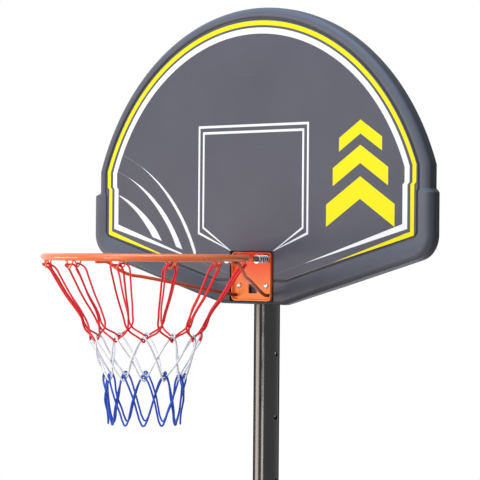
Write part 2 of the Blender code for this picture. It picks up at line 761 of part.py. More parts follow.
def build_lock(black, plastic, steel):
    """The welded nut boss, the screw with its star knob, and the nose that enters the pole's holes."""
    place = along_x(0, 0, LOCK_HEIGHT)
    inside = LOWER_RADIUS - 0.003
    boss = turned("lock_boss", [(LOCK_HOLE_RADIUS, inside), (LOCK_BOSS_RADIUS, inside),
                                (LOCK_BOSS_RADIUS, LOCK_BOSS_END - 0.001),
                                (LOCK_BOSS_RADIUS - 0.001, LOCK_BOSS_END), (LOCK_HOLE_RADIUS, LOCK_BOSS_END)],
                  black, FINE_SIDES, place)
    shape = bmesh.new()
    solid_rod(shape, LOWER_RADIUS + GAP, LOCK_HEIGHT - 0.03, LOCK_HEIGHT + 0.03, along_z(), ROUND_SIDES)
    cut_away(boss, "boss_saddle", shape)

    nose = UPPER_RADIUS + TIP_STAND_OFF
    shoulder = nose + TIP_NOSE
    tail = shoulder + TIP_HEAD
    turned("lock_tip", [(0, nose), (TIP_RADIUS - 0.0015, nose), (TIP_RADIUS, nose + 0.0015),
                        (TIP_RADIUS, shoulder), (LOCK_SCREW_RADIUS, shoulder), (LOCK_SCREW_RADIUS, tail),
                        (0, tail)], plastic, FINE_SIDES, place, closed=False)

    screw_end = KNOB_FACE + SCREW_IN_KNOB
    start = tail + GAP
    turned("lock_screw", [(0, start), (LOCK_SCREW_RADIUS, start), (LOCK_SCREW_RADIUS, screw_end),
                          (0, screw_end)], steel, FINE_SIDES, place, closed=False)

    shape = bmesh.new()
    lobe_points = KNOB_LOBES * 6
    outline = []
    for step in range(lobe_points):
        turn = 2 * pi * step / lobe_points
        reach = KNOB_RADIUS + KNOB_LOBE * cos(KNOB_LOBES * turn)
        outline.append((reach * cos(turn), reach * sin(turn)))
    back = KNOB_FACE + KNOB_HUB_LENGTH
    front = back + KNOB_THICKNESS
    levels = [(back, 0.006), (back + 0.004, 0), (front - KNOB_EDGE, 0), (front, KNOB_EDGE)]
    rings = []
    for height, inset in levels:
        rings.append([(x * (1 - inset / KNOB_RADIUS), y * (1 - inset / KNOB_RADIUS), height)
                      for x, y in outline])
    loft(shape, rings)
    bmesh.ops.transform(shape, matrix=place, verts=shape.verts)
    knob = from_bmesh("lock_knob", shape, plastic)
    shape = bmesh.new()
    solid_rod(shape, KNOB_HUB_RADIUS, KNOB_FACE, back + 0.002, place)
    join_to(knob, from_bmesh("knob_hub", shape, plastic))
    shape = bmesh.new()
    solid_rod(shape, LOCK_SCREW_RADIUS + GAP, KNOB_FACE - 0.005, screw_end + GAP, place)
    cut_away(knob, "knob_screw_bore", shape)


# Struts

def strut_section(centre, wide, thin, half_wide, half_thin, flat):
    """A ring of points: round where flat is 0, and nearly a flat bar where it is 1."""
    points = []
    power = 1 - 0.5 * flat
    for step in range(FINE_SIDES):
        turn = 2 * pi * step / FINE_SIDES
        across = abs(cos(turn)) ** power * (1 if cos(turn) >= 0 else -1)
        through = abs(sin(turn)) ** power * (1 if sin(turn) >= 0 else -1)
        points.append(tuple(centre + wide * (half_wide * across) + thin * (half_thin * through)))
    return points


def build_struts(black):
    """Two tubes with flattened ends, from the pole down to the tank's rear."""
    half_tab = STRUT_TAB_THICKNESS / 2
    for side, word in SIDES:
        name = "strut_" + word
        top = Vector((side * (LOWER_RADIUS + GAP + half_tab), 0, STRUT_BOLT_HEIGHT))
        foot = Vector((side * STRUT_FOOT_X, STRUT_FOOT_Y, TANK_HEIGHT + GAP + half_tab))
        run = foot - top
        slope = Vector((0, run.y, run.z)).normalized()
        axis = Vector((side, 0, 0))
        level = Vector((0, 1, 0))
        up = Vector((0, 0, 1))
        tab_normal = slope.cross(axis).normalized()
        start = top + slope * STRUT_TAB_LENGTH * 2
        end = foot - level * STRUT_TAB_LENGTH * 0.9 + up * 0.012
        body = (end - start).normalized()
        body_across = (axis - body * axis.dot(body)).normalized()
        body_normal = body.cross(body_across).normalized()
        rings = [strut_section(top - slope * STRUT_TAB_HALF_WIDTH, axis, tab_normal, half_tab,
                               STRUT_TAB_HALF_WIDTH * 0.7, 1),
                 strut_section(top - slope * STRUT_TAB_HALF_WIDTH * 0.5, axis, tab_normal, half_tab,
                               STRUT_TAB_HALF_WIDTH, 1),
                 strut_section(top + slope * STRUT_TAB_HALF_WIDTH, axis, tab_normal, half_tab,
                               STRUT_TAB_HALF_WIDTH, 1),
                 strut_section(start, body_across, body_normal, STRUT_RADIUS, STRUT_RADIUS, 0),
                 strut_section(end - body * 0.03, body_across, body_normal, STRUT_RADIUS, STRUT_RADIUS, 0),
                 strut_section(foot - level * STRUT_TAB_HALF_WIDTH, axis, level.cross(axis),
                               STRUT_TAB_HALF_WIDTH, half_tab, 1),
                 strut_section(foot + level * STRUT_TAB_HALF_WIDTH * 0.5, axis, level.cross(axis),
                               STRUT_TAB_HALF_WIDTH, half_tab, 1),
                 strut_section(foot + level * STRUT_TAB_HALF_WIDTH, axis, level.cross(axis),
                               STRUT_TAB_HALF_WIDTH * 0.7, half_tab, 1)]
        shape = bmesh.new()
        loft(shape, rings)
        strut = from_bmesh(name, shape, black)
        shape = bmesh.new()
        solid_rod(shape, M10_RADIUS + BORE_GAP, STRUT_BORE_START, STRUT_BORE_END,
                  along_x(0, 0, STRUT_BOLT_HEIGHT) @ Matrix.Diagonal((1, 1, side, 1)))
        solid_rod(shape, M8_RADIUS + BORE_GAP, TANK_HEIGHT - 0.01, TANK_HEIGHT + 0.02,
                  along_z(side * STRUT_FOOT_X, STRUT_FOOT_Y, 0))
        cut_away(strut, name + "_bolt_holes", shape)


# Backboard

def frame_front(z):
    """How far the moulded frame stands in front of the panel at a height."""
    rise = z - RIM_HEIGHT
    return BLOCK_PROUD if rise < LEDGE_RISE else FRAME_PROUD


def board_outline():
    """The board's edge, counter-clockwise as seen from the front, with X right and Z up."""
    half = []
    edge_start = (BOTTOM_HALF_WIDTH, -BOTTOM_DROP)
    half.append(edge_start)
    slope = ((LOWER_CORNER_X - BOTTOM_HALF_WIDTH), (LOWER_CORNER_RISE + BOTTOM_DROP))
    corner = (CORNER_BLOCK_X, -BOTTOM_DROP + slope[1])
    for share in (0.3, 0.6):
        half.append((BOTTOM_HALF_WIDTH + slope[0] * share, -BOTTOM_DROP + slope[1] * share))
    half += round_corner(edge_start, corner, (CORNER_BLOCK_X, LEDGE_RISE), CORNER_RADIUS, 5)
    step = CORNER_BLOCK_X - SIDE_X
    half.append((CORNER_BLOCK_X, LEDGE_RISE - step / 2 - 0.001))
    half.append((SIDE_X, LEDGE_RISE + step / 2))
    start = asin(sqrt(1 - (SIDE_X / ARCH_RADIUS) ** 2))
    steps = ARCH_STEPS // 2
    for index in range(steps):
        turn = start + (pi / 2 - start) * index / steps
        half.append((ARCH_RADIUS * cos(turn), ARCH_CENTRE_RISE + ARCH_RADIUS * sin(turn)))
    return mirrored(half, [(0, BOARD_TOP)])


def panel_outline():
    """The inner edge of the frame, point for point with the board's edge."""
    half = []
    bottom = -BOTTOM_DROP + FRAME_BAND_BOTTOM
    side = CORNER_BLOCK_X - FRAME_BAND_BLOCK
    upper_side = SIDE_X - FRAME_BAND_SIDE
    rise = (LOWER_CORNER_RISE + BOTTOM_DROP) / (LOWER_CORNER_X - BOTTOM_HALF_WIDTH)
    start = (BOTTOM_HALF_WIDTH + 0.002, bottom)
    half.append(start)
    corner = (side, bottom + rise * (side - start[0]))
    for share in (0.3, 0.6):
        half.append((start[0] + (side - start[0]) * share, bottom + (corner[1] - bottom) * share))
    half += round_corner(start, corner, (side, LEDGE_RISE), 0.012, 5)
    step = upper_side - side
    half.append((side, LEDGE_RISE - step / 2))
    half.append((upper_side, LEDGE_RISE + step / 2))
    radius = ARCH_RADIUS - FRAME_BAND_TOP
    turn_start = asin(sqrt(1 - (upper_side / radius) ** 2))
    steps = ARCH_STEPS // 2
    for index in range(steps):
        turn = turn_start + (pi / 2 - turn_start) * index / steps
        half.append((radius * cos(turn), ARCH_CENTRE_RISE + radius * sin(turn)))
    return mirrored(half, [(0, BOARD_TOP - FRAME_BAND_TOP)])


def mirrored(half, top):
    """A closed outline from its right half and the points on its centre line."""
    return half + top + [(-x, z) for x, z in reversed(half)]


def build_backboard(plastic):
    """The blow-moulded board: rounded frame, set-back panel, rim pocket and kiss-off recesses."""
    outer = board_outline()
    inner = panel_outline()

    def ring(points, inset, front_share, y=None):
        moved = inset_outline(points, inset)
        placed = []
        for x, z in moved:
            height = RIM_HEIGHT + z
            depth = PANEL_Y - frame_front(height) * front_share if y is None else y
            placed.append((x, depth, height))
        return placed

    rings = [ring(outer, BACK_ROUND, 0, BOARD_BACK_Y), ring(outer, 0, 0, BOARD_BACK_Y - BACK_ROUND)]
    for step in range(3):
        turn = step * pi / 4
        inset = FRAME_ROUND * (1 - cos(turn))
        behind = FRAME_ROUND * (1 - sin(turn))
        layer = ring(outer, inset, 1)
        rings.append([(x, y + behind, z) for x, y, z in layer])
    rings.append(ring(inner, 0, 1))
    rings.append(ring(inner, PANEL_STEP_RUN, 0))
    shape = bmesh.new()
    loft(shape, rings)
    board = from_bmesh("backboard", shape, plastic, 30)

    shape = bmesh.new()
    front = PANEL_Y - BLOCK_PROUD - CUT_PAST
    box_into(shape, (-POCKET_HALF_WIDTH, front, RIM_HEIGHT + POCKET_BOTTOM),
             (POCKET_HALF_WIDTH, POCKET_FLOOR_Y, RIM_HEIGHT + POCKET_TOP))
    cut_away(board, "rim_pocket", shape)
    shape = bmesh.new()
    box_into(shape, (-POCKET_HALF_WIDTH, front, RIM_HEIGHT + POCKET_BOTTOM),
             (POCKET_HALF_WIDTH, POCKET_FLOOR_Y + RELIEF_DEPTH, RIM_BOLT_HEIGHT - 0.003))
    cut_away(board, "plate_foot_relief", shape)

    shape = bmesh.new()
    for side in (-1, 1):
        for x, height in ((SPRING_BOLT_X, SPRING_HEIGHT), (RIM_BOLT_X, RIM_BOLT_HEIGHT)):
            solid_rod(shape, M8_RADIUS + BORE_GAP, PANEL_Y - 0.02, BOARD_BACK_Y + 0.01,
                      along_y(side * x, 0, height))
        for spread in (-1, 1):
            height = RIM_HEIGHT + UPPER_BRACKET_RISE + spread * UPPER_SCREW_SPREAD
            solid_rod(shape, SCREW_RADIUS + BORE_GAP, BOARD_BACK_Y - SCREW_DEPTH - 0.001, BOARD_BACK_Y + 0.01,
                      along_y(side * UPPER_SCREW_X, 0, height), 8)
    cut_away(board, "board_bolt_bores", shape)

    shape = bmesh.new()
    solid_rod(shape, UPPER_RADIUS + GAP, RIM_HEIGHT - BOTTOM_DROP - 0.02, UPPER_TOP + 0.03, along_z(),
              ROUND_SIDES)
    cut_away(board, "pole_channel", shape)

    shape = bmesh.new()
    for x, z in recess_places():
        spin_profile(shape, [(0, -RECESS_DEPTH), (RECESS_FLOOR_RADIUS, -RECESS_DEPTH),
                             (RECESS_MOUTH_RADIUS, 0), (RECESS_MOUTH_RADIUS, 0.01), (0, 0.01)], RECESS_SIDES,
                     along_y(x, BOARD_BACK_Y, RIM_HEIGHT + z), closed=False)
    cut_away(board, "kiss_off_recesses", shape)
    return board


def recess_places():
    """Centres of the recesses: a square grid each side of the pole, inside the board's edge."""
    places = []
    columns = int((CORNER_BLOCK_X - RECESS_FIRST_X) / RECESS_PITCH) + 1
    rows = int((BOARD_TOP + BOTTOM_DROP) / RECESS_PITCH) + 1
    edge_rise = (LOWER_CORNER_RISE + BOTTOM_DROP) / (LOWER_CORNER_X - BOTTOM_HALF_WIDTH)
    for row in range(rows):
        z = BOARD_TOP - FRAME_BAND_TOP - RECESS_PITCH * (row + 0.6)
        for column in range(columns):
            x = RECESS_FIRST_X + RECESS_PITCH * column
            floor = -BOTTOM_DROP + edge_rise * (x - BOTTOM_HALF_WIDTH) + RECESS_EDGE_MARGIN
            inside_arch = hypot(x, z - ARCH_CENTRE_RISE) < ARCH_RADIUS - RECESS_EDGE_MARGIN
            if z > floor and x < SIDE_X - RECESS_EDGE_MARGIN and (inside_arch or z < ARCH_CENTRE_RISE):
                places += [(x, z), (-x, z)]
    return places


def saddle_outline():
    """An omega seen from above: two ears on the board and a saddle round the pole's back."""
    inner = UPPER_RADIUS + GAP
    outer = inner + SADDLE_WALL
    front = BOARD_BACK_Y + GAP
    points = [(EAR_HALF_WIDTH, front), (sqrt(inner ** 2 - front ** 2), front)]
    first = degrees(atan2(front, points[1][0]))
    step = 360 / ROUND_SIDES
    turns = [index * step for index in range(ROUND_SIDES) if first < index * step - 90 < 180 - first]
    turns = [turn - 90 for turn in turns]
    points += [(inner * cos(radians(turn)), inner * sin(radians(turn))) for turn in turns]
    points += [(-points[1][0], front), (-EAR_HALF_WIDTH, front), (-EAR_HALF_WIDTH, EAR_BACK_Y)]
    reach = sqrt(outer ** 2 - EAR_BACK_Y ** 2)
    low = degrees(atan2(EAR_BACK_Y, reach))
    points.append((-reach, EAR_BACK_Y))
    points += [(outer * cos(radians(turn)), outer * sin(radians(turn)))
               for turn in reversed(turns) if low < turn < 180 - low]
    points += [(reach, EAR_BACK_Y), (EAR_HALF_WIDTH, EAR_BACK_Y)]
    return points


def build_brackets(steel_black):
    """Two omega brackets that clamp the board to the pole."""
    levels = (("lower_bracket", RIM_HEIGHT + LOWER_BRACKET_BOTTOM, RIM_HEIGHT + LOWER_BRACKET_TOP),
              ("upper_bracket", RIM_HEIGHT + UPPER_BRACKET_RISE - UPPER_BRACKET_HALF_HEIGHT,
               RIM_HEIGHT + UPPER_BRACKET_RISE + UPPER_BRACKET_HALF_HEIGHT))
    for name, low, high in levels:
        shape = bmesh.new()
        add_prism(shape, saddle_outline(), low, high)
        bracket = from_bmesh(name, shape, steel_black)
        shape = bmesh.new()
        if name == "lower_bracket":
            holes = [(side * x, height, M8_RADIUS) for side in (-1, 1)
                     for x, height in ((SPRING_BOLT_X, SPRING_HEIGHT), (RIM_BOLT_X, RIM_BOLT_HEIGHT))]
        else:
            holes = [(side * UPPER_SCREW_X, RIM_HEIGHT + UPPER_BRACKET_RISE + spread * UPPER_SCREW_SPREAD,
                      SCREW_RADIUS) for side in (-1, 1) for spread in (-1, 1)]
        for x, height, radius in holes:
            solid_rod(shape, radius + BORE_GAP, BOARD_BACK_Y - 0.002, EAR_BACK_Y + 0.002,
                      along_y(x, 0, height))
        cut_away(bracket, name + "_holes", shape)
    for name, height in zip(("lower_bracket", "upper_bracket"), cross_bolt_heights()):
        cross_hole(bpy.data.objects[name], name + "_cross_hole", height, M8_RADIUS + BORE_GAP)


# Rim

def rounded_rectangle(low, high, radius, steps=4):
    """A rectangle's outline with round corners, counter-clockwise."""
    corners = [(high[0], low[1]), (high[0], high[1]), (low[0], high[1]), (low[0], low[1])]
    outline = []
    for index, corner in enumerate(corners):
        outline += round_corner(corners[index - 1], corner, corners[(index + 1) % 4], radius, steps)
    return outline


def build_rim_plate(orange):
    """A pressed tray with turned lips, four bolt holes and a window."""
    outline = rounded_rectangle((-PLATE_HALF_WIDTH, PLATE_BOTTOM), (PLATE_HALF_WIDTH, PLATE_TOP),
                                PLATE_CORNER)
    inner = inset_outline(outline, PLATE_SHEET)

    def ring(points, y):
        return [(x, y, RIM_HEIGHT + z) for x, z in points]

    soft = inset_outline(outline, PLATE_SHEET / 2)
    shape = bmesh.new()
    loft(shape, [ring(soft, PLATE_BACK_Y), ring(outline, PLATE_BACK_Y - PLATE_SHEET / 2),
                 ring(outline, PLATE_BACK_Y - PLATE_LIP), ring(inner, PLATE_BACK_Y - PLATE_LIP),
                 ring(inner, PLATE_FACE_Y)])
    plate = from_bmesh("rim_plate", shape, orange)
    shape = bmesh.new()
    for side in (-1, 1):
        solid_rod(shape, SPRING_HOLE_RADIUS, PLATE_FACE_Y - 0.005, PLATE_BACK_Y + 0.005,
                  along_y(side * SPRING_BOLT_X, 0, SPRING_HEIGHT))
        solid_rod(shape, RIM_HOLE_RADIUS, PLATE_FACE_Y - 0.005, PLATE_BACK_Y + 0.005,
                  along_y(side * RIM_BOLT_X, 0, RIM_BOLT_HEIGHT))
    box_into(shape, (-WINDOW_HALF_WIDTH, PLATE_FACE_Y - 0.005, RIM_HEIGHT + WINDOW_BOTTOM),
             (WINDOW_HALF_WIDTH, PLATE_BACK_Y + 0.005, RIM_HEIGHT + WINDOW_TOP))
    cut_away(plate, "plate_holes", shape)
    return plate


def build_ring(orange):
    """The ring, the neck plate that joins it to the tray, and two braces under it."""
    shape = bmesh.new()
    sides = 8
    section = []
    for step in range(sides):
        turn = 2 * pi * (step + 0.5) / sides
        section.append((RING_RADIUS + RING_TUBE_RADIUS * cos(turn), RING_TUBE_RADIUS * sin(turn)))
    spin_profile(shape, section, RING_STEPS, along_z(0, RING_Y, RIM_HEIGHT))
    ring = from_bmesh("rim_ring", shape, orange)
    weld_hooks(ring, orange)

    weld = RING_RADIUS + RING_TUBE_RADIUS + GAP
    sweep = asin(NECK_FLARE_HALF_WIDTH / weld)
    flare_y = PLATE_FACE_Y - NECK_FLARE_START
    outline = [(NECK_PLATE_HALF_WIDTH, PLATE_FACE_Y - GAP), (-NECK_PLATE_HALF_WIDTH, PLATE_FACE_Y - GAP),
               (-NECK_PLATE_HALF_WIDTH, flare_y)]
    steps = 6
    for step in range(steps + 1):
        turn = sweep * (2 * step / steps - 1)
        outline.append((weld * sin(turn), RING_Y + weld * cos(turn)))
    outline.append((NECK_PLATE_HALF_WIDTH, flare_y))
    shape = bmesh.new()
    half = NECK_PLATE_THICKNESS / 2
    add_prism(shape, outline, RIM_HEIGHT - half, RIM_HEIGHT + half)
    from_bmesh("rim_neck", shape, orange)

    for side, word in SIDES:
        tube("brace_" + word, brace_points(side), BRACE_RADIUS, orange, roundness=2)


def brace_points(side):
    """A brace's centre line, from under the ring to the tray's lower corner."""
    under = RIM_HEIGHT - RING_TUBE_RADIUS - BRACE_RADIUS - GAP
    start = radians(BRACE_RING_ANGLE)
    along = [radians(BRACE_RING_ANGLE - 7), radians(BRACE_RING_ANGLE - 3.5), start]
    points = [Vector((RING_RADIUS * cos(turn), RING_Y + RING_RADIUS * sin(turn), under)) for turn in along]
    foot = Vector((BRACE_FOOT_X, PLATE_FACE_Y - GAP, RIM_HEIGHT - BRACE_FOOT_DROP))
    lead = foot - Vector((0, BRACE_FOOT_RUN, 0))
    outward = Vector((cos(start), sin(start), 0)) * BRACE_BOW
    bend = points[-1].lerp(lead, BRACE_BEND_SHARE) + outward
    bend.z = RIM_HEIGHT - BRACE_BEND_DROP
    before = points[-1].lerp(bend, 0.55) + outward / 2
    before.z = points[-1].z + (bend.z - points[-1].z) * 0.62
    after = bend.lerp(lead, 0.12)
    after.z = bend.z + (lead.z - bend.z) * 0.10
    points += [before, bend, after, lead, foot]
    return [(side * point.x, point.y, point.z) for point in points]


def on_ring(degrees_round, radius, drop):
    """A point given by its angle round the ring, its distance from the axis and its drop."""
    turn = radians(degrees_round)
    return Vector((radius * cos(turn), RING_Y + radius * sin(turn), RIM_HEIGHT - drop))


def hook_angles():
    """Angles of the net hooks round the ring."""
    return [360 / HOOK_COUNT * index for index in range(HOOK_COUNT)]


def weld_hooks(ring, orange):
    """Joins the bent wire hooks to the underside of the ring, where both their ends are welded."""
    curve = bpy.data.curves.new("net_hooks", "CURVE")
    curve.dimensions = "3D"
    curve.bevel_depth = HOOK_WIRE_RADIUS
    curve.bevel_resolution = 0
    curve.use_fill_caps = True
    high = RING_TUBE_RADIUS - HOOK_WIRE_RADIUS
    low = RING_TUBE_RADIUS + HOOK_DROP - HOOK_WIRE_RADIUS
    for angle in hook_angles():
        offsets = [(-HOOK_HALF_WIDTH, high), (-HOOK_NOSE, low), (HOOK_NOSE, low), (HOOK_HALF_WIDTH, high)]
        add_spline(curve, [on_ring(angle + degrees(across / RING_RADIUS), RING_RADIUS, drop)
                           for across, drop in offsets])
    wires = put_in_scene("net_hooks", curve, orange)
    bpy.context.view_layer.update()
    mesh = bpy.data.meshes.new_from_object(wires)
    bpy.data.objects.remove(wires)
    hooks = bpy.data.objects.new("net_hooks", mesh)
    bpy.context.collection.objects.link(hooks)
    join_to(ring, hooks)


def spring_points(side):
    """A helix along Y from the tray to the washer."""
    coil_radius = SPRING_OUTER_RADIUS - SPRING_WIRE_RADIUS
    start_y = PLATE_FACE_Y - GAP - SPRING_WIRE_RADIUS
    run = SPRING_LENGTH - 2 * GAP - 2 * SPRING_WIRE_RADIUS
    count = int(SPRING_TURNS * POINTS_A_TURN)
    points = []
    for index in range(count + 1):
        turn = 2 * pi * index / POINTS_A_TURN
        points.append((side * SPRING_BOLT_X + coil_radius * cos(turn), start_y - run * index / count,
                       SPRING_HEIGHT + coil_radius * sin(turn)))
    return points


def build_springs(steel):
    """Two compression springs in front of the tray's top corners."""
    for side, word in SIDES:
        name = "spring_" + word
        points = spring_points(side)
        tube(name, points, SPRING_WIRE_RADIUS, steel)
        least = least_gap(points, SPRING_WIRE_RADIUS, POINTS_A_TURN // 2)
        print(f"{name}: least gap to itself {least:.5f} m")


# Fasteners

def build_fasteners(steel):
    """Bolts, nuts, washers and screws."""
    washer_y = PLATE_FACE_Y - SPRING_LENGTH
    head_y = washer_y - WASHER_THICKNESS - GAP
    nut_y = EAR_BACK_Y + GAP
    tail_y = nut_y + M8_NUT + BOLT_TAIL
    under_dome = PLATE_FACE_Y - DOME_HEAD_STAND_OFF
    for side, word in SIDES:
        bolt("spring_bolt_" + word, along_y(side * SPRING_BOLT_X, head_y, SPRING_HEIGHT), M8_RADIUS,
             M8_HEAD_ACROSS, M8_HEAD, tail_y - head_y, steel)
        turned("spring_washer_" + word, [(M8_RADIUS + BORE_GAP, washer_y - WASHER_THICKNESS),
                                         (WASHER_RADIUS, washer_y - WASHER_THICKNESS),
                                         (WASHER_RADIUS, washer_y), (M8_RADIUS + BORE_GAP, washer_y)],
               steel, FINE_SIDES, along_y(side * SPRING_BOLT_X, 0, SPRING_HEIGHT))
        crown = under_dome - DOME_HEAD
        turned("rim_bolt_" + word, [(0, crown), (DOME_HEAD_RADIUS * 0.6, crown + DOME_HEAD * 0.2),
                                    (DOME_HEAD_RADIUS, crown + DOME_HEAD * 0.75),
                                    (DOME_HEAD_RADIUS, under_dome), (M8_RADIUS, under_dome),
                                    (M8_RADIUS, tail_y), (0, tail_y)],
               steel, FINE_SIDES, along_y(side * RIM_BOLT_X, 0, RIM_BOLT_HEIGHT), closed=False)
        for x, height, level in ((SPRING_BOLT_X, SPRING_HEIGHT, "upper"),
                                 (RIM_BOLT_X, RIM_BOLT_HEIGHT, "lower")):
            nut(f"board_nut_{level}_{word}", along_y(side * x, nut_y, height), M8_RADIUS + BORE_GAP,
                M8_HEAD_ACROSS, M8_NUT, steel)
        for spread, level in ((-1, "lower"), (1, "upper")):
            height = RIM_HEIGHT + UPPER_BRACKET_RISE + spread * UPPER_SCREW_SPREAD
            tip_y = BOARD_BACK_Y - SCREW_DEPTH
            profile = [(0, tip_y), (SCREW_RADIUS, tip_y + 0.003), (SCREW_RADIUS, nut_y),
                       (SCREW_HEAD_RADIUS, nut_y), (SCREW_HEAD_RADIUS * 0.8, nut_y + SCREW_HEAD),
                       (0, nut_y + SCREW_HEAD)]
            turned(f"bracket_screw_{level}_{word}", profile, steel, 8,
                   along_y(side * UPPER_SCREW_X, 0, height), closed=False)
        head_under = TANK_HEIGHT + STRUT_TAB_THICKNESS + 2 * GAP
        upside_down = along_z(side * STRUT_FOOT_X, STRUT_FOOT_Y, head_under) @ Matrix.Rotation(pi, 4, "X")
        bolt("strut_foot_bolt_" + word, upside_down, M8_RADIUS, M8_HEAD_ACROSS, M8_HEAD,
             FOOT_BOLT_LENGTH, steel)

    saddle = UPPER_RADIUS + GAP + SADDLE_WALL + GAP
    for level, height in zip(("lower", "upper"), cross_bolt_heights()):
        cross_bolt(f"{level}_bracket", height, saddle, (M8_RADIUS, M8_HEAD_ACROSS, M8_HEAD, M8_NUT), steel)
    m10 = (M10_RADIUS, M10_HEAD_ACROSS, M10_HEAD, M10_NUT)
    cross_bolt("strut", STRUT_BOLT_HEIGHT, LOWER_RADIUS + STRUT_TAB_THICKNESS + 2 * GAP, m10, steel)
    cross_bolt("socket", SOCKET_BOLT_HEIGHT, SOCKET_BOSS_RADIUS + GAP, m10, steel)


def cross_bolt(name, height, reach, sizes, material):
    """A bolt along X through the pole, with its head on the left and its nut on the right."""
    radius, across, head, thickness = sizes
    bolt(name + "_bolt", along_x(-reach, 0, height), radius, across, head,
         2 * reach + thickness + BOLT_TAIL, material)
    nut(name + "_nut", along_x(reach, 0, height), radius + BORE_GAP, across, thickness, material)


# Net

def cord_offset():
    """Half the distance between the centre lines of two cords that cross."""
    return CORD_RADIUS + CORD_GAP / 2


def red_points():
    """One closed cord: over each hook, through its knot, and down to the tips between hooks."""
    offset = cord_offset()
    leg = HOOK_WIRE_RADIUS + CORD_RADIUS + GAP + 0.0012
    pitch = 360 / HOOK_COUNT
    points = []

    def spread(metres, radius):
        return degrees(metres / radius)

    for angle in hook_angles():
        tip = angle - pitch / 2
        reach = spread(LINK_REACH, RED_TIP_RADIUS)
        rise = LINK_OVERLAP / 2
        points += [on_ring(tip, RED_TIP_RADIUS, RED_TIP_DROP),
                   on_ring(tip + reach, RED_TIP_RADIUS - offset, RED_TIP_DROP - rise),
                   on_ring(angle, KNOT_RADIUS + offset, KNOT_DROP)]
        climb = [(0.0062, 0.154, 0.130), (0.0105, 0.186, 0.086), (0.0130, 0.210, 0.047),
                 (LOOP_HALF_WIDTH, 0.2245, 0.0250)]
        points += [on_ring(angle + spread(across, radius), radius, drop) for across, radius, drop in climb]
        over = [(0.0068, -leg, LOOP_TOP_DROP), (0.0, 0.0, LOOP_TOP_DROP - 0.0003),
                (-0.0068, leg, LOOP_TOP_DROP)]
        points += [on_ring(angle + spread(across, RING_RADIUS), RING_RADIUS + out, drop)
                   for across, out, drop in over]
        points += [on_ring(angle - spread(across, radius), radius, drop)
                   for across, radius, drop in reversed(climb)]
        points += [on_ring(angle, KNOT_RADIUS - offset, KNOT_DROP),
                   on_ring(angle + pitch / 2 - reach, RED_TIP_RADIUS + offset, RED_TIP_DROP - rise)]
    return points


def zigzag_points(first, top, cross, tip, rounded):
    """A closed cord that goes down one pitch and up the next, linked at its tops and tips.

    top, cross and tip are (radius, drop). first is 0 or 1: the two cords of a row cross half-way.
    """
    pitch = 360 / HOOK_COUNT
    offset = cord_offset()
    side = offset if first == 0 else -offset
    points = []
    for index in range(0, HOOK_COUNT, 2):
        angle = pitch * (index + first) + pitch / 2
        points += strand_points(angle, 1, offset, side, top, cross, tip, rounded)
        upward = strand_points(angle + 2 * pitch, -1, offset, side, top, cross, tip, rounded)
        points += [on_ring(angle + pitch, *tip)] + upward[:0:-1]
    return points


def strand_points(angle, way, offset, side, top, cross, tip, rounded):
    """From a top down to just before the tip, turning way = 1 or -1."""
    pitch = 360 / HOOK_COUNT
    top_radius, top_drop = top
    cross_radius, cross_drop = cross
    tip_radius, tip_drop = tip
    top_reach = degrees(LINK_REACH / top_radius)
    tip_reach = degrees(LINK_REACH / tip_radius)
    points = [on_ring(angle, top_radius, top_drop),
              on_ring(angle + way * top_reach, top_radius + way * offset, top_drop + LINK_OVERLAP / 2),
              on_ring(angle + way * pitch / 2, cross_radius + side, cross_drop)]
    if rounded:
        fall = tip_drop - cross_drop
        points += [on_ring(angle + way * pitch * 0.70, cross_radius * 0.4 + tip_radius * 0.6,
                           cross_drop + fall * 0.52),
                   on_ring(angle + way * pitch * 0.86, tip_radius, cross_drop + fall * 0.88)]
    else:
        points += [on_ring(angle + way * (pitch - tip_reach), tip_radius + way * offset,
                           tip_drop - LINK_OVERLAP / 2)]
    return points


def build_net(red, white, blue):
    """Five closed cords in three rows, each row linked through the one above."""
    cords = {"net_red": (red_points(), red)}
    for first, word in ((0, "front"), (1, "back")):
        white_cord = zigzag_points(first, (RED_TIP_RADIUS, RED_TIP_DROP - LINK_OVERLAP),
                                   (WHITE_CROSS_RADIUS, WHITE_CROSS_DROP),
                                   (JUNCTION_RADIUS, WHITE_TIP_DROP), False)
        blue_cord = zigzag_points(first, (JUNCTION_RADIUS, WHITE_TIP_DROP - LINK_OVERLAP),
                                  (BLUE_CROSS_RADIUS, BLUE_CROSS_DROP),
                                  (BLUE_LOOP_RADIUS, BLUE_LOOP_DROP), True)
        cords["net_white_" + word] = (white_cord, white)
        cords["net_blue_" + word] = (blue_cord, blue)
    for name, (points, material) in cords.items():
        tube(name, points, CORD_RADIUS, material, cyclic=True)
    report_net_gaps({name: points for name, (points, material) in cords.items()})


# Gaps between tubes

def segment_distance(a, b, c, d):
    """Least distance between the straight runs a to b and c to d."""
    first = b - a
    second = d - c
    between = a - c
    aa = first.dot(first)
    bb = first.dot(second)
    cc = second.dot(second)
    dd = first.dot(between)
    ee = second.dot(between)
    spread = aa * cc - bb * bb
    share = min(max((bb * ee - cc * dd) / spread, 0.0), 1.0) if spread > 1e-15 else 0.0
    other = min(max((bb * share + ee) / cc, 0.0), 1.0)
    share = min(max((bb * other - dd) / aa, 0.0), 1.0)
    return (a + first * share - c - second * other).length


def least_gap(points, radius, skip, cyclic=False):
    """The least gap of a tube to itself, leaving out runs nearer than skip along it."""
    runs = runs_of(points, cyclic)
    count = len(runs)
    least = 1.0
    for i in range(count):
        for j in range(i + skip, count):
            if cyclic and i + count - j < skip:
                continue
            least = min(least, segment_distance(*runs[i], *runs[j]))
    return least - 2 * radius


def runs_of(points, cyclic):
    """The straight runs of a polyline."""
    places = [Vector(point) for point in points]
    runs = list(zip(places, places[1:]))
    if cyclic:
        runs.append((places[-1], places[0]))
    return runs


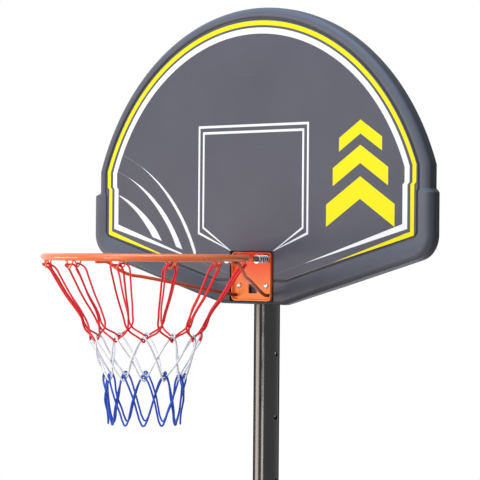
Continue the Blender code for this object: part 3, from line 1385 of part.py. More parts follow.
def report_net_gaps(cords):
    """Prints the least gap of each cord to itself, and of each pair that comes near."""
    skip = 4
    for name, points in cords.items():
        print(f"{name}: least gap to itself {least_gap(points, CORD_RADIUS, skip, True):.5f} m")
    runs = {name: runs_of(points, True) for name, points in cords.items()}
    for first, second in combinations(runs, 2):
        near = [segment_distance(*a, *b) for a in runs[first] for b in runs[second]
                if (a[0] - b[0]).length < NEAR_RUN]
        if near:
            print(f"{first} and {second}: least gap {min(near) - 2 * CORD_RADIUS:.5f} m")


def main():
    """Builds the whole stand."""
    for piece in list(bpy.data.objects):
        bpy.data.objects.remove(piece, do_unlink=True)
    black_steel = finish("black_powder_coat", (0.02, 0.019, 0.02), 0.3)
    tank_plastic = finish("tank_plastic", (0.02, 0.02, 0.022), 0.55)
    board_plastic = finish("board_plastic", (0.115, 0.115, 0.14), 0.5)
    black_plastic = finish("black_plastic", (0.02, 0.02, 0.02), 0.5)
    rubber = finish("black_rubber", (0.015, 0.015, 0.015), 0.8)
    orange = finish("orange_powder_coat", (0.80, 0.12, 0.02), 0.35)
    zinc = finish("zinc_plate", (0.75, 0.75, 0.77), 0.25, 1.0)
    red = finish("red_cord", (0.70, 0.01, 0.02), 0.7)
    white = finish("white_cord", (0.85, 0.85, 0.85), 0.7)
    blue = finish("blue_cord", (0.02, 0.07, 0.50), 0.7)
    build_tank(tank_plastic)
    build_filler(black_plastic, rubber)
    build_wheels(black_plastic, zinc, black_plastic)
    build_poles(black_steel, black_plastic)
    build_collar(black_plastic)
    build_lock(black_steel, black_plastic, zinc)
    build_struts(black_steel)
    build_backboard(board_plastic)
    build_brackets(black_steel)
    build_rim_plate(orange)
    build_ring(orange)
    build_springs(zinc)
    build_fasteners(zinc)
    build_net(red, white, blue)


main()
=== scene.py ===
# %% [markdown]
# A portable basketball stand, dressed for a picture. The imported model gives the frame:
# every piece below is made in the same metres, so it goes where the frame says and rides
# on one of its bodies.

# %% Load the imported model
from math import asin, atan2, cos, degrees, hypot, pi, radians, sin, sqrt

import bmesh
import bpy
from mathutils import Matrix, Vector


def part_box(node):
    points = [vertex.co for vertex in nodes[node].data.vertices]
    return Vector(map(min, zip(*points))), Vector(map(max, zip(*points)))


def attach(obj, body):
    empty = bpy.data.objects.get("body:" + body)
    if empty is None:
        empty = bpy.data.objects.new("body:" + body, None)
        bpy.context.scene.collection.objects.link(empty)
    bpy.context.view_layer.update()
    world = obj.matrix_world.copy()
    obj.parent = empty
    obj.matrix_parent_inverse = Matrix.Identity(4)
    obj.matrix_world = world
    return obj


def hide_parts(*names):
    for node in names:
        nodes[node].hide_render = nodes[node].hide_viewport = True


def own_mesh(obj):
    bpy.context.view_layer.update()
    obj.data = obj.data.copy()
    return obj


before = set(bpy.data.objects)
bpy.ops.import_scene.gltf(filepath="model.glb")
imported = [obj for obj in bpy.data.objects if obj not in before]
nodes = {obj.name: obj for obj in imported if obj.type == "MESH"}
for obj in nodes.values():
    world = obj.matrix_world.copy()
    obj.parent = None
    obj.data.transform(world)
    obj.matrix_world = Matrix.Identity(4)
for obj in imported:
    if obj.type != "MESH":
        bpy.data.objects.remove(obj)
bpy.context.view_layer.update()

# %% [markdown]
# The photograph was taken from about five and a half metres, level with the ring and to its
# right, through a long lens. Such a view is set by a place, three angles and a focal length.
# Setting it first means that each piece can be judged in the picture as soon as it is made.

# %% Camera
RIM_HEIGHT = 3.05
PANEL_Y = -0.056
VIEW_DISTANCE = 5.5571
VIEW_SIDE = radians(43.8529)
VIEW_RISE = 0.0253
VIEW_YAW = radians(44.1433)
VIEW_PITCH = radians(0.1773)
VIEW_ROLL = radians(0.4725)
SENSOR = 36
LENS = 172.947

camera_data = bpy.data.cameras.new("view")
camera_data.sensor_width = SENSOR
camera_data.lens = LENS
camera_data.clip_end = 60
camera = bpy.data.objects.new("view", camera_data)
bpy.context.collection.objects.link(camera)
turn = Matrix.Rotation(VIEW_YAW, 4, "Z") @ Matrix.Rotation(pi / 2 + VIEW_PITCH, 4, "X")
eye = Vector((VIEW_DISTANCE * sin(VIEW_SIDE), PANEL_Y - VIEW_DISTANCE * cos(VIEW_SIDE),
              RIM_HEIGHT + VIEW_RISE))
camera.matrix_world = Matrix.Translation(eye) @ turn @ Matrix.Rotation(VIEW_ROLL, 4, "Z")
bpy.context.scene.camera = camera
print("camera at", [round(value, 3) for value in camera.matrix_world.translation])

# %% [markdown]
# Soft studio light comes from a pale room, two large soft boxes and two cards. The room is
# plain white to the eye and in reflections, and much dimmer as a light, so colours come out
# about as they are written. The floor is pale, takes the stand's shadow and fades into the
# white room a few metres away, which leaves no horizon.

# %% Small tools
def join(tree, value, socket):
    """Puts a number, a colour or the output of another node into a socket."""
    if isinstance(value, bpy.types.NodeSocket):
        tree.links.new(value, socket)
    else:
        socket.default_value = value


def maths(tree, kind, *values, clamp=False):
    """One Math node, and its output."""
    node = tree.nodes.new("ShaderNodeMath")
    node.operation = kind
    node.use_clamp = clamp
    for value, socket in zip(values, node.inputs):
        join(tree, value, socket)
    return node.outputs[0]


def ramp(tree, value, start, end, low=0.0, high=1.0, smooth=False):
    """One Map Range node: start to end becomes low to high."""
    node = tree.nodes.new("ShaderNodeMapRange")
    node.interpolation_type = "SMOOTHSTEP" if smooth else "LINEAR"
    for number, socket in zip((value, start, end, low, high), node.inputs):
        join(tree, number, socket)
    return node.outputs[0]


def blend_colours(tree, share, first, second, kind="MIX"):
    """One Mix node for colours: share 0 gives the first and 1 the second."""
    node = tree.nodes.new("ShaderNodeMix")
    node.data_type = "RGBA"
    node.blend_type = kind
    join(tree, share, node.inputs["Factor"])
    join(tree, first, node.inputs[6])
    join(tree, second, node.inputs[7])
    return node.outputs[2]


def paint(red, green, blue):
    """A display colour, each part from 0 to 255, as the linear colour that nodes take."""
    parts = []
    for value in (red, green, blue):
        share = value / 255
        parts.append(share / 12.92 if share <= 0.04045 else ((share + 0.055) / 1.055) ** 2.4)
    return (*parts, 1.0)


def mesh_object(name, shape):
    """A new object in the scene, made of a bmesh, which is then freed."""
    mesh = bpy.data.meshes.new(name)
    shape.to_mesh(mesh)
    shape.free()
    piece = bpy.data.objects.new(name, mesh)
    bpy.context.collection.objects.link(piece)
    return piece


# %% Room, lamps and floor
ROOM_TINT, ROOM_LEVEL = (0.92, 0.96, 1.0, 1.0), 0.24
BOARD_CENTRE, NET_CENTRE = (0, 0, 3.2), (0, 0, 2.4)
FLOOR_RADIUS, FADE_START, FADE_END = 9.0, 1.2, 5.5


def build_room():
    world = bpy.data.worlds.new("studio")
    bpy.context.scene.world = world
    world.use_nodes = True
    tree = world.node_tree
    tree.nodes.clear()
    seen = tree.nodes.new("ShaderNodeBackground")
    seen.inputs["Color"].default_value = (1, 1, 1, 1)
    seen.inputs["Strength"].default_value = 1.0
    lit = tree.nodes.new("ShaderNodeBackground")
    lit.inputs["Color"].default_value = ROOM_TINT
    lit.inputs["Strength"].default_value = ROOM_LEVEL
    path = tree.nodes.new("ShaderNodeLightPath")
    shown = maths(tree, "MAXIMUM", path.outputs["Is Camera Ray"], path.outputs["Is Glossy Ray"])
    shown = maths(tree, "MAXIMUM", shown, path.outputs["Is Transmission Ray"])
    mix = tree.nodes.new("ShaderNodeMixShader")
    join(tree, shown, mix.inputs[0])
    join(tree, lit.outputs[0], mix.inputs[1])
    join(tree, seen.outputs[0], mix.inputs[2])
    output = tree.nodes.new("ShaderNodeOutputWorld")
    join(tree, mix.outputs[0], output.inputs["Surface"])


def soft_box(name, place, aim, size, power, colour):
    """A rectangular area lamp that faces a point."""
    data = bpy.data.lights.new(name, "AREA")
    data.shape = "RECTANGLE"
    data.size, data.size_y = size
    data.energy = power
    data.color = colour
    lamp = bpy.data.objects.new(name, data)
    bpy.context.collection.objects.link(lamp)
    lamp.location = place
    lamp.rotation_euler = (Vector(aim) - Vector(place)).to_track_quat("-Z", "Y").to_euler()
    lamp.visible_camera = False


build_room()
soft_box("key_box", (0.0, -4.0, 5.6), BOARD_CENTRE, (3.6, 3.6), 64, (0.98, 0.98, 1.0))
soft_box("top_box", (0.2, -0.9, 6.2), BOARD_CENTRE, (2.4, 2.4), 100, (0.52, 0.74, 1.0))
soft_box("side_card", (-3.25, -3.15, 2.3), NET_CENTRE, (2.9, 1.1), 94, (1.0, 0.90, 0.82))
soft_box("front_card", (0.70, -4.45, 2.3), NET_CENTRE, (1.3, 1.1), 58, (1.0, 0.91, 0.84))
bpy.context.scene.view_settings.view_transform = "Standard"


def build_floor():
    shape = bmesh.new()
    bmesh.ops.create_circle(shape, cap_ends=True, segments=96, radius=FLOOR_RADIUS)
    floor = mesh_object("studio_floor", shape)
    finish = bpy.data.materials.new("studio_floor")
    finish.use_nodes = True
    tree = finish.node_tree
    shader = tree.nodes["Principled BSDF"]
    shader.inputs["Base Color"].default_value = (0.93, 0.93, 0.93, 1)
    shader.inputs["Roughness"].default_value = 0.9
    shader.inputs["Specular IOR Level"].default_value = 0.1
    place = tree.nodes.new("ShaderNodeTexCoord")
    away = tree.nodes.new("ShaderNodeVectorMath")
    away.operation = "LENGTH"
    join(tree, place.outputs["Object"], away.inputs[0])
    fade = ramp(tree, away.outputs["Value"], FADE_START, FADE_END, smooth=True)
    clear = tree.nodes.new("ShaderNodeBsdfTransparent")
    mix = tree.nodes.new("ShaderNodeMixShader")
    join(tree, fade, mix.inputs[0])
    join(tree, shader.outputs[0], mix.inputs[1])
    join(tree, clear.outputs[0], mix.inputs[2])
    join(tree, mix.outputs[0], tree.nodes["Material Output"].inputs["Surface"])
    floor.data.materials.append(finish)


build_floor()
print("room, four lamps and a floor")

# %% [markdown]
# Several finishes share an effect: moulded plastic and powder coat both have a fine grain,
# and everything that stands outdoors has faint wear. Each effect is one node group with its
# own inputs, so every material can use it at its own scale. A group only gives out numbers
# that vary over the surface. The shader itself stays in the material.

# %% Shared effects
def new_group(name, inputs, outputs):
    """A node group with named sockets, its input node and its output node."""
    group = bpy.data.node_groups.new(name, "ShaderNodeTree")
    for label, value in inputs:
        kind = "NodeSocketVector" if value is None else "NodeSocketFloat"
        socket = group.interface.new_socket(name=label, in_out="INPUT", socket_type=kind)
        if value is not None:
            socket.default_value = value
    for label in outputs:
        group.interface.new_socket(name=label, in_out="OUTPUT", socket_type="NodeSocketFloat")
    return group, group.nodes.new("NodeGroupInput"), group.nodes.new("NodeGroupOutput")


def noise(tree, vector, scale, detail=2.0, roughness=0.5):
    """One Noise node, and its value."""
    node = tree.nodes.new("ShaderNodeTexNoise")
    join(tree, vector, node.inputs["Vector"])
    join(tree, scale, node.inputs["Scale"])
    node.inputs["Detail"].default_value = detail
    node.inputs["Roughness"].default_value = roughness
    return node.outputs["Fac"]


def build_grain():
    """Fine bumps for a surface from a grained mould or a powder coat, with a cloudy tone."""
    inputs = [("Vector", None), ("Scale", 900.0), ("Cloud", 6.0)]
    group, inside, outside = new_group("fine_grain", inputs, ["Height", "Tone"])
    bumps = noise(group, inside.outputs["Vector"], inside.outputs["Scale"], 2, 0.6)
    pits = group.nodes.new("ShaderNodeTexVoronoi")
    join(group, inside.outputs["Vector"], pits.inputs["Vector"])
    join(group, inside.outputs["Scale"], pits.inputs["Scale"])
    height = maths(group, "MULTIPLY_ADD", pits.outputs["Distance"], 0.5, bumps)
    join(group, height, outside.inputs["Height"])
    cloud = noise(group, inside.outputs["Vector"], inside.outputs["Cloud"], 4, 0.55)
    join(group, ramp(group, cloud, 0.3, 0.7), outside.inputs["Tone"])
    return group


def build_scuffs():
    """Thin, broken scratches that lie in several directions."""
    inputs = [("Vector", None), ("Scale", 12.0), ("Amount", 0.5)]
    group, inside, outside = new_group("light_scuffs", inputs, ["Mask"])
    layers = []
    for lean, stretch in ((0.5, 14.0), (-0.9, 18.0)):
        place = group.nodes.new("ShaderNodeMapping")
        join(group, inside.outputs["Vector"], place.inputs["Vector"])
        place.inputs["Rotation"].default_value = (0.3, lean, 0.2)
        place.inputs["Scale"].default_value = (1.0, 1.0, stretch)
        streak = noise(group, place.outputs[0], inside.outputs["Scale"], 3, 0.6)
        layers.append(ramp(group, streak, 0.64, 0.72))
    both = maths(group, "MAXIMUM", *layers)
    cloud = noise(group, inside.outputs["Vector"], inside.outputs["Scale"], 2)
    both = maths(group, "MULTIPLY", both, ramp(group, cloud, 0.5, 0.62))
    both = maths(group, "MULTIPLY", both, inside.outputs["Amount"], clamp=True)
    join(group, both, outside.inputs["Mask"])
    return group


def build_band():
    """1 within half a width of a centre and 0 beyond, with the soft edge of a print."""
    inputs = [("Distance", 0.0), ("Centre", 0.0), ("Half width", 0.003), ("Soft", 0.0004)]
    group, inside, outside = new_group("printed_line", inputs, ["Mask"])
    off = maths(group, "SUBTRACT", inside.outputs["Distance"], inside.outputs["Centre"])
    off = maths(group, "ABSOLUTE", off)
    left = maths(group, "SUBTRACT", inside.outputs["Half width"], off)
    share = maths(group, "DIVIDE", left, inside.outputs["Soft"])
    join(group, maths(group, "ADD", share, 0.5, clamp=True), outside.inputs["Mask"])
    return group


def build_braid():
    """The plaits of a braided cord, from its own UV map scaled to whole plaits."""
    group, inside, outside = new_group("cord_braid", [("Vector", None)], ["Height", "Tone"])
    parts = group.nodes.new("ShaderNodeSeparateXYZ")
    join(group, inside.outputs["Vector"], parts.inputs[0])
    along, around = parts.outputs[0], parts.outputs[1]
    sets = []
    for kind in ("ADD", "SUBTRACT"):
        slant = maths(group, "MULTIPLY", maths(group, kind, along, around), pi)
        sets.append(maths(group, "ABSOLUTE", maths(group, "SINE", slant)))
    over = maths(group, "SINE", maths(group, "MULTIPLY", along, pi))
    over = ramp(group, over, -0.3, 0.3)
    under = maths(group, "SUBTRACT", 1.0, over)
    height = maths(group, "MAXIMUM", maths(group, "MULTIPLY", sets[0], over),
                   maths(group, "MULTIPLY", sets[1], under))
    join(group, height, outside.inputs["Height"])
    # Where the braid dips between plaits the tone is darker: painted shade.
    join(group, ramp(group, height, 0.0, 0.7), outside.inputs["Tone"])
    return group


GRAIN = build_grain()
SCUFFS = build_scuffs()
BAND = build_band()
BRAID = build_braid()


def use_group(tree, group, **values):
    """Places a group in a material, with its inputs by name, and returns its outputs."""
    node = tree.nodes.new("ShaderNodeGroup")
    node.node_tree = group
    for label, value in values.items():
        join(tree, value, node.inputs[label.replace("_", " ")])
    return node.outputs


print("groups:", [group.name for group in (GRAIN, SCUFFS, BAND, BRAID)])

# %% [markdown]
# Most of the stand is moulded plastic, powder-coated steel or zinc-plated steel. These three
# families differ in colour, gloss and the size of their grain, so one function makes them
# all: a tone that drifts a little, a few scuffs that are duller than what is round them,
# and a shallow bump.

# %% Plain finishes
def start_material(name):
    made = bpy.data.materials.new(name)
    made.use_nodes = True
    tree = made.node_tree
    place = tree.nodes.new("ShaderNodeTexCoord")
    return made, tree, tree.nodes["Principled BSDF"], place.outputs["Object"]


def add_bump(tree, shader, height, strength, distance):
    bump = tree.nodes.new("ShaderNodeBump")
    bump.inputs["Strength"].default_value = strength
    bump.inputs["Distance"].default_value = distance
    join(tree, height, bump.inputs["Height"])
    join(tree, bump.outputs[0], shader.inputs["Normal"])


def fade_edges(tree, shader, level):
    """Reflections that fade where the surface turns from the eye, so dark tubes keep dark rims."""
    layer = tree.nodes.new("ShaderNodeLayerWeight")
    layer.inputs["Blend"].default_value = 0.5
    join(tree, ramp(tree, layer.outputs["Facing"], 0.42, 0.66, level, 0.0),
         shader.inputs["Specular IOR Level"])


def coated(name, dark, pale, roughness, grain, depth, scuff=0.3,
           metallic=0.0, level=0.5, coat=0.0, low=None):
    """A finish whose tone drifts from dark to pale, with grain of that scale and depth.

    Where low is given, as a colour and two heights, the piece has that colour below them: painted
    light on the tray and painted shade on the braces.
    """
    made, tree, shader, place = start_material(name)
    dark, pale = paint(*dark), paint(*pale)
    fine = use_group(tree, GRAIN, Vector=place, Scale=grain, Cloud=9.0)
    marks = use_group(tree, SCUFFS, Vector=place, Amount=scuff)
    tone = blend_colours(tree, fine["Tone"], dark, pale)
    if low:
        height = tree.nodes.new("ShaderNodeSeparateXYZ")
        join(tree, place, height.inputs[0])
        rise = ramp(tree, height.outputs[2], low[1], low[2])
        tone = blend_colours(tree, rise, paint(*low[0]), tone)
    rubbed = [min(1, part * 1.6 + 0.02) for part in pale[:3]] + [1]
    worn = blend_colours(tree, marks["Mask"], tone, rubbed)
    join(tree, worn, shader.inputs["Base Color"])
    dull = maths(tree, "MULTIPLY_ADD", fine["Tone"], 0.08, roughness - 0.04)
    dull = maths(tree, "MULTIPLY_ADD", marks["Mask"], 0.25, dull, clamp=True)
    join(tree, dull, shader.inputs["Roughness"])
    shader.inputs["Metallic"].default_value = metallic
    shader.inputs["Specular IOR Level"].default_value = level
    shader.inputs["Coat Weight"].default_value = coat
    shader.inputs["Coat Roughness"].default_value = 0.12
    add_bump(tree, shader, fine["Height"], 0.35, depth)
    return made


ORANGE = coated("orange_paint", (253, 108, 40), (255, 122, 54), 0.26, 700, 0.0003, 0.15, coat=0.35)
# The tray's copy of the orange coat is darker and redder above and lighter and yellower towards its
# foot: painted shade above, painted light below.
TRAY_PAINTED_LIGHT = coated("tray_paint_with_painted_light", (249, 82, 14), (254, 92, 20), 0.36, 700, 0.0004, 0.15, level=0.3,
                    low=((254, 140, 58), RIM_HEIGHT - 0.085, RIM_HEIGHT - 0.015))
# The braces' copy of the orange coat is darker than the ring's and darkest brown-red towards the
# tray: painted shade.
BRACE_PAINTED_SHADE = coated("brace_paint_with_painted_shade", (230, 88, 36), (242, 100, 44), 0.30, 700, 0.0004, 0.15, level=0.35,
               low=((118, 36, 18), RIM_HEIGHT - 0.088, RIM_HEIGHT - 0.040))
BLACK = coated("black_paint", (16, 13, 12), (21, 18, 17), 0.14, 900, 0.0001, 0.2, level=0.45)
fade_edges(BLACK.node_tree, BLACK.node_tree.nodes["Principled BSDF"], 0.45)
TANK = coated("tank_shell_plastic", (26, 26, 28), (34, 34, 36), 0.5, 260, 0.0010, 0.5)
PLASTIC = coated("moulded_plastic", (24, 24, 25), (31, 31, 32), 0.45, 520, 0.0006, 0.25)
RUBBER = coated("soft_rubber", (20, 20, 20), (30, 30, 30), 0.75, 380, 0.0006, 0.1)
# The bolts inside the springs are coloured dark: painted shade inside the coils, not a blackened
# finish.
BOLT_PAINTED_SHADE = coated("bolt_with_painted_shade", (46, 42, 42), (62, 58, 56), 0.42, 420, 0.0001,
                   scuff=0.2, metallic=0.6)
ZINC = coated("bright_zinc", (188, 190, 194), (214, 214, 212), 0.3, 420, 0.0001, 0.3, metallic=1.0)
SPRING_STEEL = coated("spring_steel", (150, 152, 158), (190, 192, 198), 0.26, 500, 0.0001,
                      scuff=0.1, metallic=1.0)
print("plain finishes:", len(bpy.data.materials))

# %% [markdown]
# Every piece ends in the same way: points that lie on each other are merged, faces are
# turned outwards, round parts are shaded smooth and real corners stay sharp. Then the piece
# gets its finish and its body, and the imported piece that it stands for is hidden. Pieces that
# fit together keep the imported model's clearance of 0.3 mm.

# %% Finishing a piece
SIDES = ((-1, "left"), (1, "right"))
GAP = 0.0003


def plain_piece(name, shape, merge=1e-6):
    """A closed mesh object without a finish or a body yet."""
    bmesh.ops.remove_doubles(shape, verts=shape.verts, dist=merge)
    bmesh.ops.recalc_face_normals(shape, faces=shape.faces)
    return mesh_object(name, shape)


def dress(name, shape, finish, body, stands_for, corner=35):
    """Makes a piece of a bmesh, and puts it on its body."""
    return settle(plain_piece(name, shape, 1e-5), finish, body, stands_for, corner)


def settle(piece, finish, body, stands_for, corner=35):
    """The last steps for a piece that is a mesh object already."""
    mesh = piece.data
    mesh.materials.clear()
    mesh.materials.append(finish)
    mesh.shade_smooth()
    mesh.set_sharp_from_angle(angle=radians(corner))
    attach(piece, body)
    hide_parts(*stands_for)
    print(piece.name, "faces:", len(mesh.polygons))
    return piece


def flatten_shading(piece):
    """Lets a wide flat face keep its own shading, so that small curves beside it don't tint it."""
    weigh = piece.modifiers.new("weigh", "WEIGHTED_NORMAL")
    weigh.mode = "FACE_AREA"
    weigh.weight = 90
    weigh.keep_sharp = True


def skin(shape, rings):
    """Joins loops of points one after another, each point to its own, and returns the loops."""
    loops = [[shape.verts.new(point) for point in points] for points in rings]
    for first, second in zip(loops, loops[1:]):
        for index in range(len(first)):
            shape.faces.new((first[index - 1], first[index], second[index], second[index - 1]))
    return loops


def bridge(shape, rings):
    """A skin that is closed at both ends."""
    loops = skin(shape, rings)
    shape.faces.new(loops[0])
    shape.faces.new(loops[-1])


def loop_edges(shape, loop):
    return [shape.edges.get((loop[index - 1], loop[index])) for index in range(len(loop))]


def spin(shape, profile, steps, place=None, closed=True):
    """Turns a profile of (radius, height) once round Z, then puts it in its place."""
    verts = [shape.verts.new((radius, 0, height)) for radius, height in profile]
    pairs = list(zip(verts, verts[1:] + verts[:1] if closed else verts[1:]))
    edges = [shape.edges.new(pair) for pair in pairs]
    before = set(shape.verts) - set(verts)
    bmesh.ops.spin(shape, geom=verts + edges, cent=(0, 0, 0), axis=(0, 0, 1), dvec=(0, 0, 0),
                   angle=2 * pi, steps=steps, use_merge=True)
    fresh = [vert for vert in shape.verts if vert not in before]
    if place is not None:
        bmesh.ops.transform(shape, matrix=place, verts=fresh)


def turned(profile, steps, place=None, closed=True):
    """A new shape that holds one turned profile."""
    shape = bmesh.new()
    spin(shape, profile, steps, place, closed)
    return shape


def along_x(x, y, z):
    """A place whose own Z runs along X."""
    return Matrix.Translation((x, y, z)) @ Matrix.Rotation(pi / 2, 4, "Y")


def along_y(x, y, z):
    """A place whose own Z runs along Y."""
    return Matrix.Translation((x, y, z)) @ Matrix.Rotation(-pi / 2, 4, "X")


def rod(shape, radius, low, high, place, sides=24):
    """A plain round bar, for cutting holes."""
    spin(shape, [(0, low), (radius, low), (radius, high), (0, high)], sides, place, closed=False)


def close_up(mesh):
    """Merges doubled points and fills the hairline gaps that cutting or capping leaves."""
    shape = bmesh.new()
    shape.from_mesh(mesh)
    bmesh.ops.remove_doubles(shape, verts=shape.verts, dist=2e-6)
    gaps = [edge for edge in shape.edges if len(edge.link_faces) == 1]
    bmesh.ops.holes_fill(shape, edges=gaps, sides=4)
    shape.to_mesh(mesh)
    shape.free()
    return mesh


def carve(piece, shape):
    """Cuts a shape out of a piece for good."""
    cutter = plain_piece("cutter", shape)
    cut = piece.modifiers.new("cut", "BOOLEAN")
    cut.object = cutter
    cut.operation = "DIFFERENCE"
    cut.solver = "EXACT"
    bpy.context.view_layer.update()
    graph = bpy.context.evaluated_depsgraph_get()
    result = bpy.data.meshes.new_from_object(piece.evaluated_get(graph))
    piece.modifiers.clear()
    piece.data = close_up(result)
    bpy.data.objects.remove(cutter)


def drill(piece, radius, low, high, places, sides=24):
    """Cuts round holes of one size through a piece, each along its place's own Z."""
    shape = bmesh.new()
    for place in places:
        rod(shape, radius, low, high, place, sides)
    carve(piece, shape)


def plate(outline, low, high, edge):
    """A flat outline raised from one height to another, with its long edges broken."""
    shape = bmesh.new()
    face = shape.faces.new([shape.verts.new((x, y, low)) for x, y in outline])
    raised = bmesh.ops.extrude_face_region(shape, geom=[face])
    top = [item for item in raised["geom"] if isinstance(item, bmesh.types.BMVert)]
    bmesh.ops.translate(shape, vec=(0, 0, high - low), verts=top)
    level = [side for side in shape.edges if abs(side.verts[0].co.z - side.verts[1].co.z) < 1e-6]
    bmesh.ops.bevel(shape, geom=level, offset=edge, offset_type="OFFSET", segments=2, profile=0.5,
                    affect="EDGES", material=-1)
    return shape


def quarter(steps):
    """The steps of a quarter turn, each as 1 less its cosine and 1 less its sine."""
    turns = [pi / 2 * step / steps for step in range(steps + 1)]
    return [(1 - cos(turn), 1 - sin(turn)) for turn in turns]


def circle_points(radius, y=0.0, count=64):
    turns = [2 * pi * step / count for step in range(count)]
    return [(radius * cos(turn), y + radius * sin(turn)) for turn in turns]


# %% [markdown]
# The backboard is blow-moulded: one hollow plastic shell with a thick rounded frame, a
# panel set back inside it and corner blocks that stand further forward. It could be cut
# from a solid, but loops bridged one after another follow the mould better, because each
# loop is one contour of the shell and a round edge is just a few loops close together.

# %% Board sizes
ARCH_RISE, ARCH_RADIUS = 0.023, 0.580
SIDE_X, BLOCK_X = 0.547, 0.556
LEDGE_RISE = 0.157
CORNER_RADIUS = 0.060
BOTTOM_DROP, BOTTOM_X = 0.112, 0.104
EDGE_SLOPE = 0.272
EDGE_LEAN = sqrt(1 + EDGE_SLOPE * EDGE_SLOPE)
OUTER = (-BOTTOM_DROP, BOTTOM_X, BLOCK_X, SIDE_X, CORNER_RADIUS, ARCH_RADIUS)
LIP_LINE = (-0.058, 0.117, 0.5195, 0.5235, 0.018, 0.5575)
CROWN, BLOCK_CROWN = 0.002, 0.0085
ROUND, BLOCK_ROUND = 0.016, 0.012
BACK_ROUND = 0.002
BOARD_BACK_Y, BACK_SWELL = -0.030, 0.0065
GROOVE = 0.0045


def round_corner(before, corner, after, radius, steps):
    """Points of an arc that rounds a corner."""
    corner = Vector(corner)
    first = (Vector(before) - corner).normalized()
    second = (Vector(after) - corner).normalized()
    half = first.angle(second) / 2
    centre = corner + (first + second).normalized() * (radius / sin(half))
    start = corner + first * (radius * cos(half) / sin(half)) - centre
    end = corner + second * (radius * cos(half) / sin(half)) - centre
    points = []
    for step in range(steps + 1):
        arm = start.slerp(end, step / steps).normalized() * radius
        points.append((centre.x + arm.x, centre.y + arm.y))
    return points


def round_corners(corners, radii, steps):
    """A closed outline through corners, each of them rounded."""
    outline = []
    for index, (corner, radius) in enumerate(zip(corners, radii)):
        outline += round_corner(corners[index - 1], corner, corners[(index + 1) % len(corners)],
                                radius, steps)
    return outline


def rounded_box(low, high, radius, steps):
    corners = [(high[0], low[1]), (high[0], high[1]), (low[0], high[1]), (low[0], low[1])]
    return round_corners(corners, [radius] * 4, steps)


def smooth_step(value):
    share = min(max(value, 0), 1)
    return share * share * (3 - 2 * share)


def contour(bottom, bottom_x, block_x, side_x, corner_radius, arch_radius):
    """One contour of the board as (x, rise above the ring), counter-clockwise from the front."""
    half = [(bottom_x * share, bottom) for share in (0.35, 0.7, 1.0)]
    corner = (block_x, bottom + EDGE_SLOPE * (block_x - bottom_x))
    for share in (0.02, 0.2, 0.4, 0.6, 0.8):
        half.append((bottom_x + (block_x - bottom_x) * share * 0.93,
                     bottom + (corner[1] - bottom) * share * 0.93))
    half += round_corner(half[-1], corner, (block_x, LEDGE_RISE), corner_radius, 10)
    run = 0.006
    for step in range(13):
        share = step / 12
        half.append((block_x + (side_x - block_x) * smooth_step(share),
                     LEDGE_RISE - run + 2 * run * share))
    start = asin(sqrt(1 - (side_x / arch_radius) ** 2))
    for step in range(49):
        turn = start + (pi / 2 - start) * step / 49
        half.append((arch_radius * cos(turn), ARCH_RISE + arch_radius * sin(turn)))
    mirrored = [(-x, z) for x, z in reversed(half)]
    return half + [(0, ARCH_RISE + arch_radius)] + mirrored + [(0, bottom)]


def inward(sizes, low, high=None):
    """The contour of those sizes moved inwards: by low in the blocks and by high above them."""
    bottom, bottom_x, block_x, side_x, corner, arch = sizes
    high = low if high is None else high
    bottom_x -= low * (EDGE_LEAN - 1) / EDGE_SLOPE
    return contour(bottom + low, bottom_x, block_x - low, side_x - high, corner - low, arch - high)


def in_block(rise):
    """1 in the corner blocks and 0 above them, with a soft step at the ledge."""
    return smooth_step((LEDGE_RISE + 0.004 - rise) / 0.008)


def crown_height(x, rise):
    """How far the frame stands in front of the panel. Beside the rim it is level with it."""
    height = CROWN + (BLOCK_CROWN - CROWN) * in_block(rise)
    return height * smooth_step((abs(x) - 0.075) / 0.10) if rise < 0 else height


def inset_points(points, distance):
    """A closed outline moved inwards."""
    moved = []
    count = len(points)
    for index, point in enumerate(points):
        before = Vector(points[index - 1])
        after = Vector(points[(index + 1) % count])
        here = Vector(point)
        first = (here - before).normalized()
        second = (after - here).normalized()
        push = Vector((-first.y - second.y, first.x + second.x)).normalized()
        stretch = max(0.5, sqrt((1 + first.dot(second)) / 2))
        moved.append(tuple(here + push * (distance / stretch)))
    return moved


